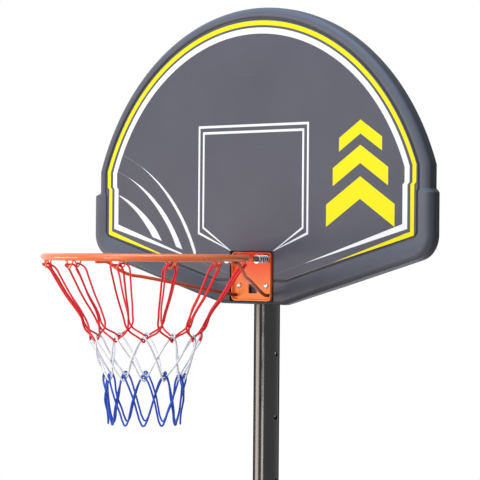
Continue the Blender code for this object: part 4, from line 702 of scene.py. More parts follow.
# %% Backboard shell
def build_board():
    rings = []

    def ring(points, depth):
        """One loop: a depth is a function of a point's x and rise."""
        rings.append([(x, depth(x, rise), RIM_HEIGHT + rise) for x, rise in points])

    def back(x):
        return BOARD_BACK_Y + BACK_SWELL * smooth_step((abs(x) - 0.14) / 0.16)

    def front(x, rise):
        return PANEL_Y - crown_height(x, rise)

    def edge_round(rise):
        return ROUND + (BLOCK_ROUND - ROUND) * in_block(rise)

    for inset, share in ((0.030, 0), (0.0285, 0.06), (0.0255, 0.5), (0.0225, 0.94), (0.021, 1)):
        ring(inward(OUTER, inset), lambda x, rise: BOARD_BACK_Y + (back(x) - BOARD_BACK_Y) * share)
    for low, high in quarter(3):
        ring(inward(OUTER, BACK_ROUND * high), lambda x, rise: back(x) - BACK_ROUND * low)
    for low, high in quarter(8):
        ring(inward(OUTER, BLOCK_ROUND * low, ROUND * low),
             lambda x, rise: front(x, rise) + edge_round(rise) * high)
    crown = inward(OUTER, BLOCK_ROUND, ROUND)
    lip = inward(LIP_LINE, -0.0012)
    for share in (0.2, 0.4, 0.6, 0.8, 0.93):
        between = [(a[0] + (b[0] - a[0]) * share, a[1] + (b[1] - a[1]) * share)
                   for a, b in zip(crown, lip)]
        ring(between, lambda x, rise: PANEL_Y - crown_height(x, rise) * (1 - 0.85 * share ** 2))
    for inset, drop in ((-0.0012, 0), (-0.0004, 0.0002), (0.0002, 0.0009), (0.0004, 0.0020)):
        ring(inward(LIP_LINE, inset), lambda x, rise: PANEL_Y - crown_height(x, rise) * 0.15 + drop)
    for inset, drop in ((0.0008, GROOVE - 0.0008), (0.0016, GROOVE), (0.0048, GROOVE),
                        (0.0056, GROOVE - 0.0008), (0.0062, 0.0008), (0.0066, 0.0002), (0.0074, 0)):
        ring(inward(LIP_LINE, inset), lambda x, rise: PANEL_Y + drop)
    shape = bmesh.new()
    bridge(shape, rings)
    return plain_piece("backboard_shell", shape)


board = build_board()
print("board faces:", len(board.data.polygons))

# %% [markdown]
# The shell is still closed all over. The pocket behind the rim, the bolt holes and the round
# kiss-off recesses on the back, where the mould's pins weld the two walls together, are cut
# out of it. The cutter for a recess has a flared mouth, so the cut edge comes out rounded.

# %% Openings in the board
POCKET_X = 0.0735
POCKET_TOP, POCKET_BOTTOM = 0.017, -0.1065
POCKET_FLOOR_Y = PANEL_Y + 0.008
RELIEF = 0.004
SPRING_X, SPRING_Z = 0.050, RIM_HEIGHT - 0.003
BOLT_X, BOLT_Z = 0.045, RIM_HEIGHT - 0.067
PITCH, FIRST_X, FIRST_RISE = 0.090, 0.115, 0.522
PIN_ROWS, PIN_COLUMNS = 8, 5
PIN_FLOOR, PIN_SLOPE = -0.060, 0.2832
PIN_REACH, PIN_SIDE, PIN_RISE = 0.521, 0.488, 0.030
MOUTH, PIN, RECESS = 0.019, 0.010, 0.019
SCREW_X, SCREW_Z, SCREW_SPREAD = 0.052, RIM_HEIGHT + 0.290, 0.022
BOLT_BORE, SCREW_BORE = 0.0043, 0.0028


def slab(shape, low, high, radius=0.003):
    """A box with its edges along Y rounded."""
    outline = rounded_box((low[0], low[2]), (high[0], high[2]), radius, 5)
    bridge(shape, [[(x, y, z) for x, z in outline] for y in (low[1], high[1])])


def recess_places():
    """The mould's grid of pins, inside the board's edge."""
    places = []
    for row in range(PIN_ROWS):
        rise = FIRST_RISE - PITCH * row
        for column in range(PIN_COLUMNS):
            x = FIRST_X + PITCH * column
            inside = hypot(x, rise - PIN_RISE) < PIN_REACH or rise < PIN_RISE
            above = rise > PIN_FLOOR + PIN_SLOPE * (x - BOTTOM_X)
            if above and x < PIN_SIDE and inside:
                places += [(x, rise), (-x, rise)]
    return places


bolts = [(side * x, z) for side in (-1, 1) for x, z in ((SPRING_X, SPRING_Z), (BOLT_X, BOLT_Z))]
screws = [(side * SCREW_X, SCREW_Z + up * SCREW_SPREAD) for side in (-1, 1) for up in (-1, 1)]


def cut_board():
    front = PANEL_Y - 0.03
    shape = bmesh.new()
    slab(shape, (-POCKET_X, front, RIM_HEIGHT + POCKET_BOTTOM),
         (POCKET_X, POCKET_FLOOR_Y, RIM_HEIGHT + POCKET_TOP))
    carve(board, shape)
    shape = bmesh.new()
    slab(shape, (-POCKET_X + 0.0004, front, RIM_HEIGHT + POCKET_BOTTOM + 0.0004),
         (POCKET_X - 0.0004, POCKET_FLOOR_Y + RELIEF, BOLT_Z - 0.003))
    carve(board, shape)
    back = BOARD_BACK_Y
    for places, bore, start in ((bolts, BOLT_BORE, front), (screws, SCREW_BORE, back - 0.0135)):
        drill(board, bore, start, back + 0.01, [along_y(x, 0, z) for x, z in places])
    shape = bmesh.new()
    wall = [(0, back - RECESS), (PIN - 0.003, back - RECESS), (PIN - 0.0009, back - RECESS + 0.001),
            (PIN, back - RECESS + 0.003), (MOUTH - 0.002, back - 0.003),
            (MOUTH - 0.0005, back - 0.0008), (MOUTH + 0.0025, back + 0.0004),
            (MOUTH + 0.0025, back + 0.01), (0, back + 0.01)]
    places = recess_places()
    for x, z in places:
        spin(shape, wall, 28, along_y(x, 0, RIM_HEIGHT + z), closed=False)
    carve(board, shape)
    print("recesses:", len(places), "board faces:", len(board.data.polygons))


cut_board()

# %% [markdown]
# The print on the panel follows the panel's own edge. A distance to that edge, worked out
# from the place of each point, gives every stripe: yellow on the line, white just inside
# it. This keeps the stripes sharp at any zoom, where a painted picture would blur. The
# target square over the rim comes from two such distances. The free areas hold plain
# chevrons and sweeping strokes.

# %% Board print
YELLOW, WHITE, SCUFFED = paint(247, 232, 30), paint(244, 244, 246), paint(150, 150, 158)
PRINT_SIDE, PRINT_ARCH, PRINT_CORNER, PRINT_SLOPE = 0.5075, 0.5425, 0.0605, 0.283
PRINT_LEAN = sqrt(1 + PRINT_SLOPE * PRINT_SLOPE)
WHITE_HALF, YELLOW_HALF = 0.0073, 0.0056
STROKE_X, STROKE_RISE = -0.60, -0.16
CHEVRON_X, CHEVRON_SLOPE = 0.345, 0.62
TARGET = ((0.184, 0.322, 0.057), (0.169, 0.307, 0.071))


def length_of(tree, x, z):
    """The length of a flat arrow."""
    squares = maths(tree, "ADD", maths(tree, "MULTIPLY", x, x), maths(tree, "MULTIPLY", z, z))
    return maths(tree, "SQRT", squares)


def edge_distance(tree, x, z):
    """How far a point lies inside the panel's arched outline with its slanted foot, in metres."""
    above = maths(tree, "SUBTRACT", z, ARCH_RISE)
    top = maths(tree, "SUBTRACT", PRINT_ARCH, length_of(tree, x, above))
    jog = ramp(tree, z, LEDGE_RISE + 0.013, LEDGE_RISE + 0.019, PRINT_SIDE - 0.0058, PRINT_SIDE)
    flank = maths(tree, "SUBTRACT", jog, x)
    line = maths(tree, "MULTIPLY_ADD", x, PRINT_SLOPE, PRINT_CORNER - PRINT_SLOPE * PRINT_SIDE)
    foot = maths(tree, "DIVIDE", maths(tree, "SUBTRACT", z, line), PRINT_LEAN)
    return maths(tree, "MINIMUM", maths(tree, "MINIMUM", top, flank), foot)


def square_distance(tree, x, z, side, top, foot):
    """How far a point lies inside one outline of the target square."""
    slope = (foot - POCKET_TOP) / (side - POCKET_X)
    lean = sqrt(1 + slope * slope)
    low = maths(tree, "SUBTRACT", z, maths(tree, "MULTIPLY_ADD", x, slope, foot - slope * side))
    low = maths(tree, "DIVIDE", low, lean)
    inner = maths(tree, "MINIMUM", maths(tree, "SUBTRACT", side, x),
                  maths(tree, "SUBTRACT", top, z))
    return maths(tree, "MINIMUM", inner, low)


def board_finish():
    made, tree, shader, place = start_material("board_print")
    parts = tree.nodes.new("ShaderNodeSeparateXYZ")
    join(tree, place, parts.inputs[0])
    x = parts.outputs[0]
    side = maths(tree, "ABSOLUTE", x)
    z = maths(tree, "SUBTRACT", parts.outputs[2], RIM_HEIGHT)
    on_front = ramp(tree, parts.outputs[1], PANEL_Y + 0.004, PANEL_Y + 0.003)
    inside = edge_distance(tree, side, z)

    fine = use_group(tree, GRAIN, Vector=place, Scale=650.0, Cloud=5.0)
    marks = use_group(tree, SCUFFS, Vector=place, Scale=9.0, Amount=0.35)
    on_panel = maths(tree, "MULTIPLY", ramp(tree, inside, -0.0115, -0.0105), on_front)
    panel = blend_colours(tree, fine["Tone"], paint(87, 87, 96), paint(93, 93, 102))
    # The frame is the panel's plastic, painted a little lighter and bluer: painted light from
    # above.
    lit_frame_tone = blend_colours(tree, fine["Tone"], paint(94, 95, 104), paint(102, 104, 114))
    shaded_edge_tone = blend_colours(tree, fine["Tone"], paint(48, 49, 54), paint(56, 57, 63))
    # The frame's sides and back, and its lowest part, are painted darker: painted shade.
    shade_behind_front = ramp(tree, parts.outputs[1], PANEL_Y + 0.003, PANEL_Y + 0.015, smooth=True)
    shade_toward_foot = ramp(tree, z, 0.05, -0.10, 0.0, 0.75, smooth=True)
    painted_shade_share = maths(tree, "MAXIMUM", shade_behind_front, shade_toward_foot)
    lit_frame_tone = blend_colours(tree, painted_shade_share, lit_frame_tone, shaded_edge_tone)
    colour = blend_colours(tree, on_panel, lit_frame_tone, panel)

    # Stripes along the panel's edge, which thin out on the way to the rim.
    low_white = ramp(tree, z, 0.080, 0.092, 1.0, 0.0)
    low_yellow = ramp(tree, z, 0.056, 0.064, 1.0, 0.0)
    taper_white = ramp(tree, side, 0.170, 0.480, 0.0, WHITE_HALF)
    taper_yellow = ramp(tree, side, 0.260, 0.490, 0.0, YELLOW_HALF)
    halves = []
    for taper, low, full in ((taper_white, low_white, WHITE_HALF),
                             (taper_yellow, low_yellow, YELLOW_HALF)):
        half = maths(tree, "ADD", taper, maths(tree, "MULTIPLY_ADD", low, -full, full))
        halves.append(maths(tree, "MINIMUM", half, full))
    white_centre = ramp(tree, z, 0.20, 0.40, 0.0215, 0.0185)
    white = use_group(tree, BAND, Distance=inside, Centre=white_centre,
                      Half_width=halves[0])["Mask"]
    yellow = use_group(tree, BAND, Distance=inside, Centre=0.0, Half_width=halves[1])["Mask"]

    # The target square: two outlines, each by its half width, top and foot, that meet in
    # points at the pocket's corners.
    thin = ramp(tree, side, POCKET_X, 0.172, 0.0008, 0.0029)
    thin = maths(tree, "MAXIMUM", thin, ramp(tree, z, 0.066, 0.085, 0.0, 0.0029))
    for outline in TARGET:
        away = square_distance(tree, side, z, *outline)
        away = maths(tree, "SUBTRACT", away, thin)
        line = use_group(tree, BAND, Distance=away, Centre=0.0, Half_width=thin)["Mask"]
        over_pocket = ramp(tree, z, POCKET_TOP - 0.001, POCKET_TOP)
        white = maths(tree, "MAXIMUM", white, maths(tree, "MULTIPLY", line, over_pocket))

    # Sweeping strokes on the left: rings about a point, each broad at one end.
    for radius, width, low, high in ((0.340, 0.0130, 0.16, 1.22), (0.395, 0.0085, 0.20, 1.15),
                                     (0.440, 0.0055, 0.26, 1.08)):
        across = maths(tree, "SUBTRACT", x, STROKE_X)
        above = maths(tree, "SUBTRACT", z, STROKE_RISE)
        away = length_of(tree, across, above)
        turn = maths(tree, "ARCTAN2", above, across)
        share = ramp(tree, turn, low, high)
        swell = maths(tree, "SINE", maths(tree, "MULTIPLY", maths(tree, "POWER", share, 0.6), pi))
        ragged = ramp(tree, noise(tree, place, 24.0, 1), 0.35, 0.65, 0.86, 1.0)
        half = maths(tree, "MULTIPLY", maths(tree, "MULTIPLY", swell, width), ragged)
        stroke = use_group(tree, BAND, Distance=away, Centre=radius, Half_width=half,
                           Soft=0.0008)["Mask"]
        shown = maths(tree, "MULTIPLY", stroke, ramp(tree, inside, 0.032, 0.034))
        shown = maths(tree, "MULTIPLY", shown, ramp(tree, side, 0.19, 0.192))
        white = maths(tree, "MAXIMUM", white, shown)

    # Three chevrons on the right, the upper ones smaller.
    for bottom, reach, weight in ((0.100, 0.105, 0.026), (0.190, 0.085, 0.021),
                                  (0.265, 0.066, 0.016)):
        off = maths(tree, "ABSOLUTE", maths(tree, "SUBTRACT", x, CHEVRON_X))
        rise = maths(tree, "SUBTRACT", z, bottom + CHEVRON_SLOPE * reach)
        height = maths(tree, "MULTIPLY_ADD", off, CHEVRON_SLOPE, rise)
        bar = use_group(tree, BAND, Distance=height, Centre=0.0, Half_width=weight)["Mask"]
        bar = maths(tree, "MULTIPLY", bar, ramp(tree, off, reach, reach - 0.0006))
        yellow = maths(tree, "MAXIMUM", yellow, bar)

    worn = maths(tree, "MULTIPLY_ADD", marks["Mask"], -0.25, 1.0)
    for mask, ink in ((yellow, YELLOW), (white, WHITE)):
        shown = maths(tree, "MULTIPLY", maths(tree, "MULTIPLY", mask, on_panel), worn)
        colour = blend_colours(tree, shown, colour, ink)
    colour = blend_colours(tree, maths(tree, "MULTIPLY", marks["Mask"], 0.3), colour, SCUFFED)
    join(tree, colour, shader.inputs["Base Color"])
    shader.inputs["Specular IOR Level"].default_value = 0.13
    rough = maths(tree, "MULTIPLY_ADD", on_panel, 0.12, 0.34)
    rough = maths(tree, "MULTIPLY_ADD", fine["Tone"], 0.06, rough)
    join(tree, maths(tree, "MULTIPLY_ADD", marks["Mask"], 0.2, rough, clamp=True),
         shader.inputs["Roughness"])
    add_bump(tree, shader, fine["Height"], 0.3, 0.0005)
    return made


BOARD = board_finish()
settle(board, BOARD, "upper", ["backboard"], 40)
flatten_shading(board)

# %% [markdown]
# The rim hangs in a pressed steel tray. Sheet steel bends with a radius, so the tray is
# bridged from contours as the board is, with several loops round each bend. Its holes and
# the small window are cut afterwards.

# %% Rim tray
PLATE_X = 0.065
PLATE_TOP, PLATE_BOTTOM = 0.013, -0.104
PLATE_BACK_Y = POCKET_FLOOR_Y - GAP
SHEET, LIP = 0.003, 0.010
WINDOW_X, WINDOW_TOP, WINDOW_BOTTOM = 0.014, -0.064, -0.086
PLATE_FACE_Y = PLATE_BACK_Y - SHEET


def build_tray():
    outline = rounded_box((-PLATE_X, PLATE_BOTTOM), (PLATE_X, PLATE_TOP), 0.010, 8)

    def ring(inset, y):
        return [(x, y, RIM_HEIGHT + z) for x, z in inset_points(outline, inset)]

    bend, inner, rim_y = 0.003, 0.0015, PLATE_BACK_Y - LIP
    rings = [ring(bend * high, PLATE_BACK_Y - bend * low) for low, high in quarter(6)]
    rings += [ring(0, rim_y + 0.0008), ring(0.0005, rim_y), ring(SHEET - 0.0005, rim_y),
              ring(SHEET, rim_y + 0.0008)]
    rings += [ring(SHEET + inner * low, PLATE_FACE_Y - inner * high) for low, high in quarter(4)]
    shape = bmesh.new()
    bridge(shape, rings)
    tray = plain_piece("rim_tray", shape)
    front, back = PLATE_FACE_Y - 0.01, PLATE_BACK_Y + 0.01
    shape = bmesh.new()
    for side in (-1, 1):
        rod(shape, 0.0052, front, back, along_y(side * SPRING_X, 0, SPRING_Z))
        rod(shape, 0.0046, front, back, along_y(side * BOLT_X, 0, BOLT_Z))
    slab(shape, (-WINDOW_X, front, RIM_HEIGHT + WINDOW_BOTTOM),
         (WINDOW_X, back, RIM_HEIGHT + WINDOW_TOP), 0.0025)
    carve(tray, shape)
    return settle(tray, TRAY_PAINTED_LIGHT, "rim", ["rim_plate"])


build_tray()

# %% [markdown]
# The ring is a bent steel rod, so it is a small circle spun round a large one. Its hooks are
# short lengths of wire with a soft bend, welded at both ends, and a bead of weld marks each
# end. Wire is easiest as a curve with a round bevel, which is then made a mesh.

# %% Ring, hooks and welds
RING_Y = PANEL_Y - 0.3516
RING_RADIUS = 0.233
RING_TUBE = 0.008
HOOKS = 12
HOOK_WIRE, HOOK_DROP = 0.00175, 0.018


def on_ring(angle, radius, drop):
    """A point by its angle in degrees, its distance from the ring's axis and its drop."""
    turn = radians(angle)
    return Vector((radius * cos(turn), RING_Y + radius * sin(turn), RIM_HEIGHT - drop))


def wire(name, runs, radius, sides=3, closed=False, smooth=6):
    """Round wires along smooth lines through points, as one mesh object with a UV map."""
    curve = bpy.data.curves.new(name, "CURVE")
    curve.dimensions = "3D"
    curve.bevel_depth = radius
    curve.bevel_resolution = sides
    curve.use_fill_caps = not closed
    curve.resolution_u = smooth
    for points in runs:
        spline = curve.splines.new("BEZIER")
        spline.bezier_points.add(len(points) - 1)
        for knot, point in zip(spline.bezier_points, points):
            knot.co = point
            knot.handle_left_type = knot.handle_right_type = "AUTO"
        spline.use_cyclic_u = closed
    drawn = bpy.data.objects.new(name, curve)
    bpy.context.collection.objects.link(drawn)
    bpy.context.view_layer.update()
    mesh = close_up(bpy.data.meshes.new_from_object(drawn))
    bpy.data.objects.remove(drawn)
    piece = bpy.data.objects.new(name, mesh)
    bpy.context.collection.objects.link(piece)
    return piece


def bead(shape, place, size):
    """A small flattened drop of weld."""
    made = bmesh.ops.create_icosphere(shape, subdivisions=2, radius=1.0)
    bmesh.ops.scale(shape, vec=size, verts=made["verts"])
    bmesh.ops.translate(shape, vec=place, verts=made["verts"])


def build_ring():
    shape = bmesh.new()
    section = [(RING_RADIUS + across, z) for across, z in circle_points(RING_TUBE, count=20)]
    spin(shape, section, 160, Matrix.Translation((0, RING_Y, RIM_HEIGHT)))
    dress("rim_hoop", shape, ORANGE, "rim", ["rim_ring"])

    high = RING_TUBE - HOOK_WIRE * 0.6
    low = RING_TUBE + HOOK_DROP - HOOK_WIRE * 1.02
    profile = [(-0.0115, high), (-0.0094, high + 0.0036), (-0.0042, low - 0.0042),
               (-0.0012, low - 0.0002), (0.0012, low - 0.0002), (0.0042, low - 0.0042),
               (0.0094, high + 0.0036), (0.0115, high)]
    angles = [360 / HOOKS * index for index in range(HOOKS)]
    runs = [[on_ring(angle + degrees(across / RING_RADIUS), RING_RADIUS, drop)
             for across, drop in profile] for angle in angles]
    hooks = wire("net_hooks", runs, HOOK_WIRE, 3)
    settle(hooks, ORANGE, "rim", ["rim_ring"], 60)
    shape = bmesh.new()
    for angle in angles:
        for side in (-1, 1):
            place = on_ring(angle + side * degrees(0.0116 / RING_RADIUS), RING_RADIUS,
                            RING_TUBE + 0.0002)
            bead(shape, place, (0.0030, 0.0030, 0.0016))
    dress("hook_welds", shape, ORANGE, "rim", ["rim_ring"], 60)


build_ring()

# %% [markdown]
# A flat neck plate ties the ring to the tray and two bent rods brace it from below. The
# plate is a flat outline extruded to its thickness with softly bevelled edges.

# %% Neck plate and braces
NECK_HALF, NECK_FLARE, NECK_THICK, NECK_STRAIGHT = 0.0355, 0.078, 0.004, 0.032
BRACE_RADIUS, BRACE_ANGLE = 0.004, 19.8
BRACE_FOOT_X, BRACE_FOOT_DROP, BRACE_BEND_DROP = 0.054, 0.090, 0.043


def build_neck():
    reach = RING_RADIUS + RING_TUBE + GAP
    sweep = asin(NECK_FLARE / reach)
    flare_y = PLATE_FACE_Y - NECK_STRAIGHT
    back = PLATE_FACE_Y - GAP
    outline = [(NECK_HALF, back), (-NECK_HALF, back), (-NECK_HALF, flare_y)]
    for side in (-1, 1):
        end = (side * reach * sin(sweep), RING_Y + reach * cos(sweep))
        start = side * NECK_HALF
        bow = [(start + (end[0] - start) * share ** 1.8, flare_y + (end[1] - flare_y) * share)
               for share in (0.25, 0.5, 0.75)]
        if side < 0:
            outline += bow
            turns = [sweep * (step / 12 - 1) for step in range(25)]
            outline += [(reach * sin(turn), RING_Y + reach * cos(turn)) for turn in turns]
        else:
            outline += bow[::-1]
    outline.append((NECK_HALF, flare_y))
    shape = plate(outline, RIM_HEIGHT - NECK_THICK / 2, RIM_HEIGHT + NECK_THICK / 2, 0.0008)
    dress("neck_plate", shape, ORANGE, "rim", ["rim_neck"], 50)


def brace_points(side):
    """From under the ring, through a bend, to the tray's lower corner."""
    under = RIM_HEIGHT - RING_TUBE - BRACE_RADIUS - GAP
    start = radians(BRACE_ANGLE)
    points = [Vector((RING_RADIUS * cos(turn), RING_Y + RING_RADIUS * sin(turn), under))
              for turn in (radians(BRACE_ANGLE - 7), radians(BRACE_ANGLE - 3.5), start)]
    foot = Vector((BRACE_FOOT_X, PLATE_FACE_Y - GAP, RIM_HEIGHT - BRACE_FOOT_DROP))
    lead = foot - Vector((0, 0.010, 0))
    outward = Vector((cos(start), sin(start), 0)) * 0.005
    bend = points[-1].lerp(lead, 0.19) + outward
    bend.z = RIM_HEIGHT - BRACE_BEND_DROP
    before = points[-1].lerp(bend, 0.55) + outward / 2
    before.z = points[-1].z + (bend.z - points[-1].z) * 0.62
    after = bend.lerp(lead, 0.12)
    after.z = bend.z + (lead.z - bend.z) * 0.10
    points += [before, bend, after, lead, foot]
    return [(side * point.x, point.y, point.z) for point in points]


build_neck()
# Both braces take the darker copy of the orange coat, with painted shade towards the tray.
for side, word in SIDES:
    rod_piece = wire("brace_rod_" + word, [brace_points(side)], BRACE_RADIUS, 5)
    settle(rod_piece, BRACE_PAINTED_SHADE, "rim", ["brace_" + word], 60)

# %% [markdown]
# Two compression springs let the rim give. Each is one wire along a helix, with a closed
# turn at both ends so that it sits flat on the tray and on the washer.

# %% Springs
SPRING_LENGTH = 0.038
SPRING_RADIUS = 0.0084
SPRING_WIRE = 0.0016


def spring_points(side):
    start = PLATE_FACE_Y - GAP - SPRING_WIRE
    run = SPRING_LENGTH - 2 * GAP - 2 * SPRING_WIRE
    closed_turns, open_turns, per_turn = 0.6, 4.4, 16
    tight = 2 * SPRING_WIRE + 0.0001
    pitch = (run - 2 * closed_turns * tight) / open_turns
    points = []
    total = int((2 * closed_turns + open_turns) * per_turn)
    for index in range(total + 1):
        turns = index / per_turn
        low = min(turns, closed_turns) * tight
        middle = min(max(turns - closed_turns, 0), open_turns) * pitch
        high = max(turns - closed_turns - open_turns, 0) * tight
        turn = 2 * pi * turns
        points.append((side * SPRING_X + SPRING_RADIUS * cos(turn), start - low - middle - high,
                       SPRING_Z + SPRING_RADIUS * sin(turn)))
    return points


for side, word in SIDES:
    coil = wire("rim_spring_" + word, [spring_points(side)], SPRING_WIRE, 3, smooth=2)
    settle(coil, SPRING_STEEL, "upper", ["spring_" + word], 60)
    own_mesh(coil)

# %% [markdown]
# The net is braided cord in three colours. A red cord goes over each hook, down through its
# knot and on to the tips between the hooks. Two white cords and then two blue ones zigzag
# below, linked into the row above. Each cord is one closed curve, so it can be followed all
# the way round. A UV map along the cord lets the braid run with it.

# %% Net cords
CORD = 0.0023
OFFSET = CORD + 0.0008
STEP = 360 / HOOKS
KNOT = (0.139, 0.162)
RED_TIP = (0.127, 0.190)
WHITE_CROSS = (0.108, 0.233)
JUNCTION = (0.092, 0.2795)
BLUE_CROSS = (0.090, 0.323)
BLUE_LOOP = (0.083, 0.382)
LINK, OVERLAP = 0.0055, 0.012


def spread(metres, radius):
    return degrees(metres / radius)


def red_route():
    leg = HOOK_WIRE + CORD + GAP + 0.0012
    climb = [(0.0062, 0.154, 0.130), (0.0105, 0.186, 0.086), (0.0130, 0.210, 0.047),
             (0.0135, 0.2245, 0.0250)]
    over = [(0.0068, -leg, 0.0165), (0.0, 0.0, 0.0162), (-0.0068, leg, 0.0165)]
    reach = spread(LINK, RED_TIP[0])
    points = []
    for index in range(HOOKS):
        angle = STEP * index
        points += [on_ring(angle - STEP / 2, *RED_TIP),
                   on_ring(angle - STEP / 2 + reach, RED_TIP[0] - OFFSET, RED_TIP[1] - OVERLAP / 2),
                   on_ring(angle, KNOT[0] + OFFSET, KNOT[1])]
        points += [on_ring(angle + spread(across, radius), radius, drop)
                   for across, radius, drop in climb]
        points += [on_ring(angle + spread(across, RING_RADIUS), RING_RADIUS + out, drop)
                   for across, out, drop in over]
        points += [on_ring(angle - spread(across, radius), radius, drop)
                   for across, radius, drop in reversed(climb)]
        points += [on_ring(angle, KNOT[0] - OFFSET, KNOT[1]),
                   on_ring(angle + STEP / 2 - reach, RED_TIP[0] + OFFSET, RED_TIP[1] - OVERLAP / 2)]
    return points


def strand(angle, way, side, top, cross, tip, rounded):
    """From a top down to just before the tip."""
    points = [on_ring(angle, *top),
              on_ring(angle + way * spread(LINK, top[0]), top[0] + way * OFFSET,
                      top[1] + OVERLAP / 2),
              on_ring(angle + way * STEP / 2, cross[0] + side, cross[1])]
    if rounded:
        fall = tip[1] - cross[1]
        points += [on_ring(angle + way * STEP * 0.70, cross[0] * 0.4 + tip[0] * 0.6,
                           cross[1] + fall * 0.52),
                   on_ring(angle + way * STEP * 0.86, tip[0], cross[1] + fall * 0.88)]
    else:
        points.append(on_ring(angle + way * (STEP - spread(LINK, tip[0])), tip[0] + way * OFFSET,
                              tip[1] - OVERLAP / 2))
    return points


def zigzag(first, top, cross, tip, rounded):
    """A closed cord that goes down one step and up the next."""
    side = OFFSET if first == 0 else -OFFSET
    points = []
    for index in range(0, HOOKS, 2):
        angle = STEP * (index + first) + STEP / 2
        points += strand(angle, 1, side, top, cross, tip, rounded)
        upward = strand(angle + 2 * STEP, -1, side, top, cross, tip, rounded)
        points += [on_ring(angle + STEP, *tip)] + upward[:0:-1]
    return points


def cord_finish(name, dark, pale, length, sheen):
    """Braided cord: plaits in the bump, painted shade between the plaits in the tone, and a sheen
    of loose fibres.
    """
    made, tree, shader, place = start_material(name)
    chart = tree.nodes.new("ShaderNodeTexCoord")
    scale = tree.nodes.new("ShaderNodeMapping")
    join(tree, chart.outputs["UV"], scale.inputs["Vector"])
    scale.inputs["Scale"].default_value = (length / 0.0045, 4, 1)
    plait = use_group(tree, BRAID, Vector=scale.outputs[0])
    patches = ramp(tree, noise(tree, place, 45.0, 3), 0.35, 0.65, 0.0, 0.35)
    share = maths(tree, "SUBTRACT", plait["Tone"], patches, clamp=True)
    tone = blend_colours(tree, share, paint(*dark), paint(*pale))
    join(tree, tone, shader.inputs["Base Color"])
    join(tree, ramp(tree, plait["Tone"], 0, 1, 0.8, 0.6), shader.inputs["Roughness"])
    shader.inputs["Sheen Weight"].default_value = sheen
    shader.inputs["Specular IOR Level"].default_value = 0.3
    add_bump(tree, shader, plait["Height"], 0.4, 0.0006)
    return made


def route_length(points):
    ends = points[1:] + points[:1]
    return sum((end - start).length for start, end in zip(points, ends))


def build_net():
    white_top = (RED_TIP[0], RED_TIP[1] - OVERLAP)
    blue_top = (JUNCTION[0], JUNCTION[1] - OVERLAP)
    rows = [("red", [("net_red", red_route())], (216, 12, 20), (248, 34, 40)),
            ("white", [("net_white_front", zigzag(0, white_top, WHITE_CROSS, JUNCTION, False)),
                       ("net_white_back", zigzag(1, white_top, WHITE_CROSS, JUNCTION, False))],
             (244, 244, 248), (254, 254, 255)),
            ("blue", [("net_blue_front", zigzag(0, blue_top, BLUE_CROSS, BLUE_LOOP, True)),
                      ("net_blue_back", zigzag(1, blue_top, BLUE_CROSS, BLUE_LOOP, True))],
             (22, 58, 168), (48, 98, 218))]
    for colour, cords, dark, pale in rows:
        sheen = 0.8 if colour == "white" else 0.25
        finish = cord_finish(colour + "_braid", dark, pale, route_length(cords[0][1]), sheen)
        for node, points in cords:
            cord = wire(node.replace("net", "cord"), [points], CORD, 3, closed=True, smooth=5)
            settle(cord, finish, "rim", [node], 80)
            print(node, "length:", round(route_length(points), 2), "m")


build_net()

# %% [markdown]
# Where two cords are linked, a few turns of thin dark wire stand for the shade in the split between
# them: painted shade. They are tiny, so one short coil is enough for each.

# %% Painted shade at the links
def build_painted_shade_coils():
    runs = []
    for angle_share, radius, drop in ((0.5, RED_TIP[0], RED_TIP[1] - 0.006),
                                      (0.5, JUNCTION[0], JUNCTION[1] - 0.006)):
        for index in range(HOOKS):
            middle = STEP * (index + angle_share)
            points = []
            for step in range(19):
                turn = 2 * pi * step / 6
                reach = CORD * 1.30
                points.append(on_ring(middle + spread(reach * cos(turn), radius),
                                      radius + reach * sin(turn), drop - 0.0012 + step * 0.00013))
            runs.append(points)
    made = wire("net_painted_shade_coils", runs, 0.0005, 1, smooth=2)
    shade_coil_finish = coated("painted_shade_coils", (24, 22, 28), (36, 34, 42), 0.7, 900, 0.0001, 0.0)
    settle(made, shade_coil_finish, "rim", [], 80)


build_painted_shade_coils()

# %% [markdown]
# The pole is three steel tubes with walls two millimetres thick. A tube is a profile of its
# wall spun round the axis, and its holes are cut through afterwards. The top tube slides in
# the middle one, so it has six holes at equal steps.

# %% Pole tubes
SOCKET_FLOOR = 0.030
UPPER_RADIUS, LOWER_RADIUS, WALL = 0.0315, 0.0365, 0.002
LOCK_HEIGHT, LOCK_BORE = 2.055, 0.0062
HOLE_PITCH = 0.1524
UPPER_BOTTOM, UPPER_TOP = 1.80, 3.45
MIDDLE_TOP = 2.10
JOINT_HEIGHT, SPIGOT_LENGTH = 0.96, 0.10
SOCKET_BOLT_HEIGHT = 0.173
STRUT_BOLT_HEIGHT = 0.62
CROSS_BOLTS = (RIM_HEIGHT - 0.035, RIM_HEIGHT + 0.290)


def tube_wall(outside, inside, low, high, edge=0.0004):
    """The section of a tube's wall with broken edges."""
    return [(inside, low + edge), (inside + edge, low), (outside - edge, low),
            (outside, low + edge), (outside, high - edge), (outside - edge, high),
            (inside + edge, high), (inside, high - edge)]


